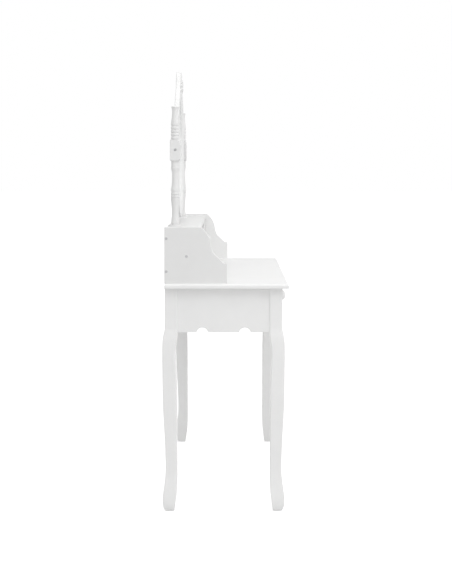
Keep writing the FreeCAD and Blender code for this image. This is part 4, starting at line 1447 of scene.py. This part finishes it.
@dataclass
class Carving:
    """A shell between two sprays of leaves, carved in low relief."""

    below_crest: float = 61.0 * MM
    proud: float = 7.0 * MM
    flute: Flute = Flute()
    flutes: int = 9
    spread: float = math.radians(165)
    falloff: float = 0.3
    boss_radius: float = 10.0 * MM
    boss_root: float = 1.0 * MM
    boss_step: int = 9
    scroll: Scroll = Scroll()
    stem: Stem = Stem()
    leaf: Leaf = Leaf()
    leaves: int = 11
    splay: float = 0.95
    taper: float = 0.45
    front: Vector = field(default_factory=lambda: Vector((0, -1, 0)))

    def _fan(self, material: bpy.types.Material) -> bpy.types.Object:
        """Turn the shell's flutes about the origin.

        Args:
            material: Their finish.

        Returns:
            The piece.
        """
        pattern = self.flute.shell(self.proud, self.front).piece("flute_pattern")
        piece = FanRecipe().run("carved_shell", {"Flute": pattern, "Count": self.flutes,
                                                 "Spread": self.spread, "Falloff": self.falloff,
                                                 "Material": material})
        bpy.data.objects.remove(pattern)
        return piece

    def _core(self) -> Shell:
        """Make the boss below the shell, with a scroll and a stem on each side.

        Returns:
            All of them as one form.
        """
        r = self.boss_radius
        dome = [(math.sin(turn) * self.proud, circle(r * math.cos(turn)))
                for turn in map(math.radians, range(0, 90, self.boss_step))]
        forwards = Matrix.Rotation(math.radians(90), 4, "X")
        core = Shell().add(lathe([(-self.boss_root, None), (-self.boss_root, circle(r)), *dome,
                                  (self.proud, None)]), forwards)
        for side in (-1, 1):
            core.add(self.scroll.shell(side, self.proud, self.front))
            core.add(self.stem.shell(side, self.proud, self.front))
        return core

    def _spray(self, name: str, side: int, recipe: SprayRecipe, leaf: bpy.types.Object,
               material: bpy.types.Material) -> bpy.types.Object:
        """Set the leaves along one side's stem.

        Args:
            name: The piece's name.
            side: -1 for the left one and 1 for the right one.
            recipe: The tree that sets them.
            leaf: One leaflet.
            material: Their finish.

        Returns:
            The piece.
        """
        start, middle, end = self.stem.ends(side)
        return recipe.run(name, {"Leaflet": leaf, "Start": start, "Middle": middle, "End": end,
                                 "Count": self.leaves, "Splay": self.splay, "Taper": self.taper,
                                 "Material": material})

    def build(self, frame: Frame) -> None:
        """Carve the crest.

        Args:
            frame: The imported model.
        """
        face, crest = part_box("mirror_frame")
        centre = Vector((0, face.y, crest.z - self.below_crest))
        paint = frame.palette.of(frame.slots["mirror_carving"], "mirror_carving")
        leaf = self.leaf.shell(self.proud, self.front).piece("leaf_pattern")
        recipe = SprayRecipe()
        pieces = [self._fan(paint), self._core().piece("carved_boss", paint),
                  self._spray("carved_spray_left", -1, recipe, leaf, paint),
                  self._spray("carved_spray_right", 1, recipe, leaf, paint)]
        bpy.data.objects.remove(leaf)
        for piece in pieces:
            piece.data.transform(Matrix.Translation(centre))
            frame.adopt(piece, "mirror", "mirror_carving")


@dataclass
class Mirror(SubAssembly):
    """The tilting frame with its looking-glass, back board, carving and fixings."""

    carving: Carving = field(default_factory=Carving)
    rim_thick: float = 3.0 * MM
    rim_segments: int = 192
    bevel_width: float = 13.0 * MM
    bevel_rise: float = 0.9 * MM
    back_screw: Screw = Screw(5.0 * MM, 2.0 * MM, 1.5 * MM, 9.0 * MM, Drive.CROSS, 5.0 * MM)
    back_screws: int = 8
    back_screw_turn: float = 0.55
    pivot_screw: Screw = Screw(4.0 * MM, 5.0 * MM, 3.0 * MM, 68.3 * MM, Drive.HEX, 4.5 * MM)
    pivot_turn: float = 0.3

    def _glass(self, frame: Frame) -> None:
        """Make the looking-glass with its bevelled border.

        Args:
            frame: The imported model.
        """
        low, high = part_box("mirror_glass")
        wide, tall = (high.x - low.x) / 2, (high.z - low.z) / 2
        top = self.rim_thick + self.bevel_rise
        inner = oval(wide - self.bevel_width, tall - self.bevel_width)
        outer = oval(wide, tall)
        shell = lathe([(0, None), (0, outer), (self.rim_thick, outer), (top, inner), (top, None)],
                      self.rim_segments)
        place = Matrix.Translation(((low.x + high.x) / 2, high.y, (low.z + high.z) / 2))
        piece = Shell().add(shell, place @ Matrix.Rotation(math.radians(90), 4, "X")).piece(
            "looking_glass", frame.palette.of(frame.slots["mirror_glass"]))
        frame.adopt(piece, "mirror", "mirror_glass")

    def _back_screws(self, frame: Frame) -> None:
        """Set the screws round the back board.

        Args:
            frame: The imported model.
        """
        low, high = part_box("back_board_screws")
        centre = (low + high) / 2
        half_step = math.pi / self.back_screws
        cos = math.cos(half_step)
        wide = ((high.x - low.x) / 2 - self.back_screw.head_radius) / cos
        tall = ((high.z - low.z) / 2 - self.back_screw.head_radius) / cos
        seat_y = high.y - self.back_screw.head_height
        spots = [(Vector((centre.x + wide * math.cos(turn), seat_y,
                          centre.z + tall * math.sin(turn))), Vector((0, 1, 0)))
                 for turn in (half_step * (2 * i + 1) for i in range(self.back_screws))]
        steel = frame.palette.of(frame.slots["back_board_screws"])
        piece = frame.fasteners.place("back_board_screws_threaded", self.back_screw.shell(), spots,
                                      steel, self.back_screw_turn)
        frame.adopt(piece, "mirror", "back_board_screws")

    def _pivots(self, frame: Frame) -> None:
        """Set the two pivot bolts, with their heads outwards.

        Args:
            frame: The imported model.
        """
        low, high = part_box("pivot_bolts")
        centre = (low + high) / 2
        seat_x = high.x - self.pivot_screw.head_height
        spots = [(Vector((side * seat_x, centre.y, centre.z)), Vector((side, 0, 0)))
                 for side in (-1, 1)]
        steel = frame.palette.of(frame.slots["pivot_bolts"])
        piece = frame.fasteners.place("pivot_bolts_threaded", self.pivot_screw.shell(), spots,
                                      steel, self.pivot_turn)
        frame.adopt(piece, "mirror", "pivot_bolts")

    def build(self, frame: Frame) -> None:
        """Make the glass, the carving and the fixings, and dress the rest.

        Args:
            frame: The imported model.
        """
        frame.dress("mirror_", "pivot_", "back_board_screws")
        self._glass(frame)
        self.carving.build(frame)
        self._back_screws(frame)
        self._pivots(frame)


# ---------------------------------------------------------------- studio
@dataclass(frozen=True)
class Softbox:
    """A broad round lamp, aimed at the middle of the table."""

    name: str
    place: tuple[float, float, float]
    power: float
    size: float = 2.2
    target: tuple[float, float, float] = (0.0, 0.0, 0.8)

    def hang(self) -> None:
        """Add the lamp to the scene."""
        data = bpy.data.lights.new(self.name, "AREA")
        data.shape = "DISK"
        data.size = self.size
        data.energy = self.power
        lamp = bpy.data.objects.new(self.name, data)
        lamp.location = self.place
        aim = Vector(self.target) - Vector(self.place)
        lamp.rotation_euler = aim.to_track_quat("-Z", "Y").to_euler()
        bpy.context.scene.collection.objects.link(lamp)


@dataclass
class Studio:
    """White floor, soft light from the left, in front and above, and the camera."""

    eye: Vector = field(default_factory=lambda: Vector((-3.3146, -0.0165, 1.1269)))
    lens: float = 56.28
    sensor: float = 36.0
    far_limit: float = 200.0
    shift: tuple[float, float] = (-0.0079, -0.2241)
    sky_level: float = 0.722
    sky_slope: tuple[float, float, float] = (-0.2, -0.116, -0.089)
    softboxes: tuple[Softbox, ...] = (Softbox("front_softbox", (-1.6, -2.6, 3.0), 24.7),
                                      Softbox("side_softbox", (-2.0, 0.0, 3.4), 19.2),
                                      Softbox("top_softbox", (0.0, 0.0, 3.4), 8.6))
    floor_reach: float = 30.0
    floor_glow: float = 0.62
    floor_colour: float = 0.8

    def camera(self) -> None:
        """Place the camera past the table's left end, looking level along its length."""
        data = bpy.data.cameras.new("camera")
        data.sensor_width = self.sensor
        data.lens = self.lens
        data.shift_x, data.shift_y = self.shift
        data.clip_end = self.far_limit
        made = bpy.data.objects.new("camera", data)
        made.location = self.eye
        made.rotation_euler = Euler((math.radians(90), 0.0, math.radians(-90)))
        bpy.context.scene.collection.objects.link(made)
        bpy.context.scene.camera = made

    def light(self) -> None:
        """Light the world from all round, and hang the lamps."""
        world = bpy.data.worlds.new("world")
        world.use_nodes = True
        world.node_tree.nodes.clear()
        tree = NodeTree(world.node_tree)
        towards = tree.node("ShaderNodeSeparateXYZ", {},
                            {0: tree.signal("ShaderNodeTexCoord", output="Generated")})
        level = sum((Signal(tree, towards.outputs[i]) * slope
                     for i, slope in enumerate(self.sky_slope)), self.sky_level)
        lit = tree.signal("ShaderNodeBackground", {}, {"Color": (1, 1, 1, 1), "Strength": level})
        seen = tree.signal("ShaderNodeBackground", {}, {"Color": (1, 1, 1, 1), "Strength": 1.0})
        mixed = tree.signal("ShaderNodeMixShader", {},
                            {"Fac": self.direct_view(tree), 1: lit, 2: seen})
        tree.node("ShaderNodeOutputWorld", {}, {"Surface": mixed})
        bpy.context.scene.world = world

        for softbox in self.softboxes:
            softbox.hang()

    @staticmethod
    def direct_view(tree: NodeTree) -> Signal:
        """Tell where the camera sees a surface directly, in a reflection or through glass.

        Args:
            tree: The tree that asks.

        Returns:
            1 there, and 0 for light that bounces.
        """
        path = tree.node("ShaderNodeLightPath")
        direct, mirrored, through = (Signal(tree, path.outputs[name]) for name in
                                     ("Is Camera Ray", "Is Glossy Ray", "Is Transmission Ray"))
        return tree.maths("MAXIMUM", tree.maths("MAXIMUM", direct, mirrored), through)

    def floor(self) -> None:
        """Lay a white floor that looks white, yet takes the table's shadow."""
        reach = self.floor_reach
        corners = [Vector((x, y, 0)) for x, y in ((-reach, -reach), (reach, -reach),
                                                  (reach, reach), (-reach, reach))]
        material = bpy.data.materials.new("floor")
        material.use_nodes = True
        material.node_tree.nodes.clear()
        tree = NodeTree(material.node_tree)
        white = (self.floor_colour, self.floor_colour, self.floor_colour, 1)
        matt = tree.signal("ShaderNodeBsdfDiffuse", {}, {"Color": white})
        glow = tree.signal("ShaderNodeEmission", {}, {"Color": (1, 1, 1, 1),
                                                      "Strength": self.floor_glow})
        bright = tree.signal("ShaderNodeAddShader", {}, {0: matt, 1: glow})
        mixed = tree.signal("ShaderNodeMixShader", {},
                            {"Fac": self.direct_view(tree), 1: matt, 2: bright})
        tree.node("ShaderNodeOutputMaterial", {}, {"Surface": mixed})
        linked("floor", Shell(corners, [(0, 1, 2, 3)]).mesh("floor", material, False))

    def build(self) -> None:
        """Set the view, the light and the floor."""
        bpy.context.scene.view_settings.view_transform = "Standard"
        self.camera()
        self.light()
        self.floor()


def main() -> None:
    """Load the frame, dress it, and set the studio."""
    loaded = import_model()
    slots = {row["node"]: row["material_slot"] for row in loaded["record"]["subparts"]}
    frame = Frame(loaded["nodes"], slots, Palette(), FastenerRecipe())
    parts: list[SubAssembly] = [Carcass(), Hutch(), Posts(), Mirror()]
    for side in ("left", "right"):
        parts.append(Drawer(f"drawer_{side}", TABLE_FRONT_THICK))
        parts.append(Drawer(f"hutch_drawer_{side}", HUTCH_FRONT_THICK))
    for part in parts:
        part.build(frame)
        LOG.info("%s built", type(part).__name__)
    Studio().build()


if __name__ == "__main__":
    logging.basicConfig(level=logging.INFO, format="%(name)s: %(message)s")
    main()
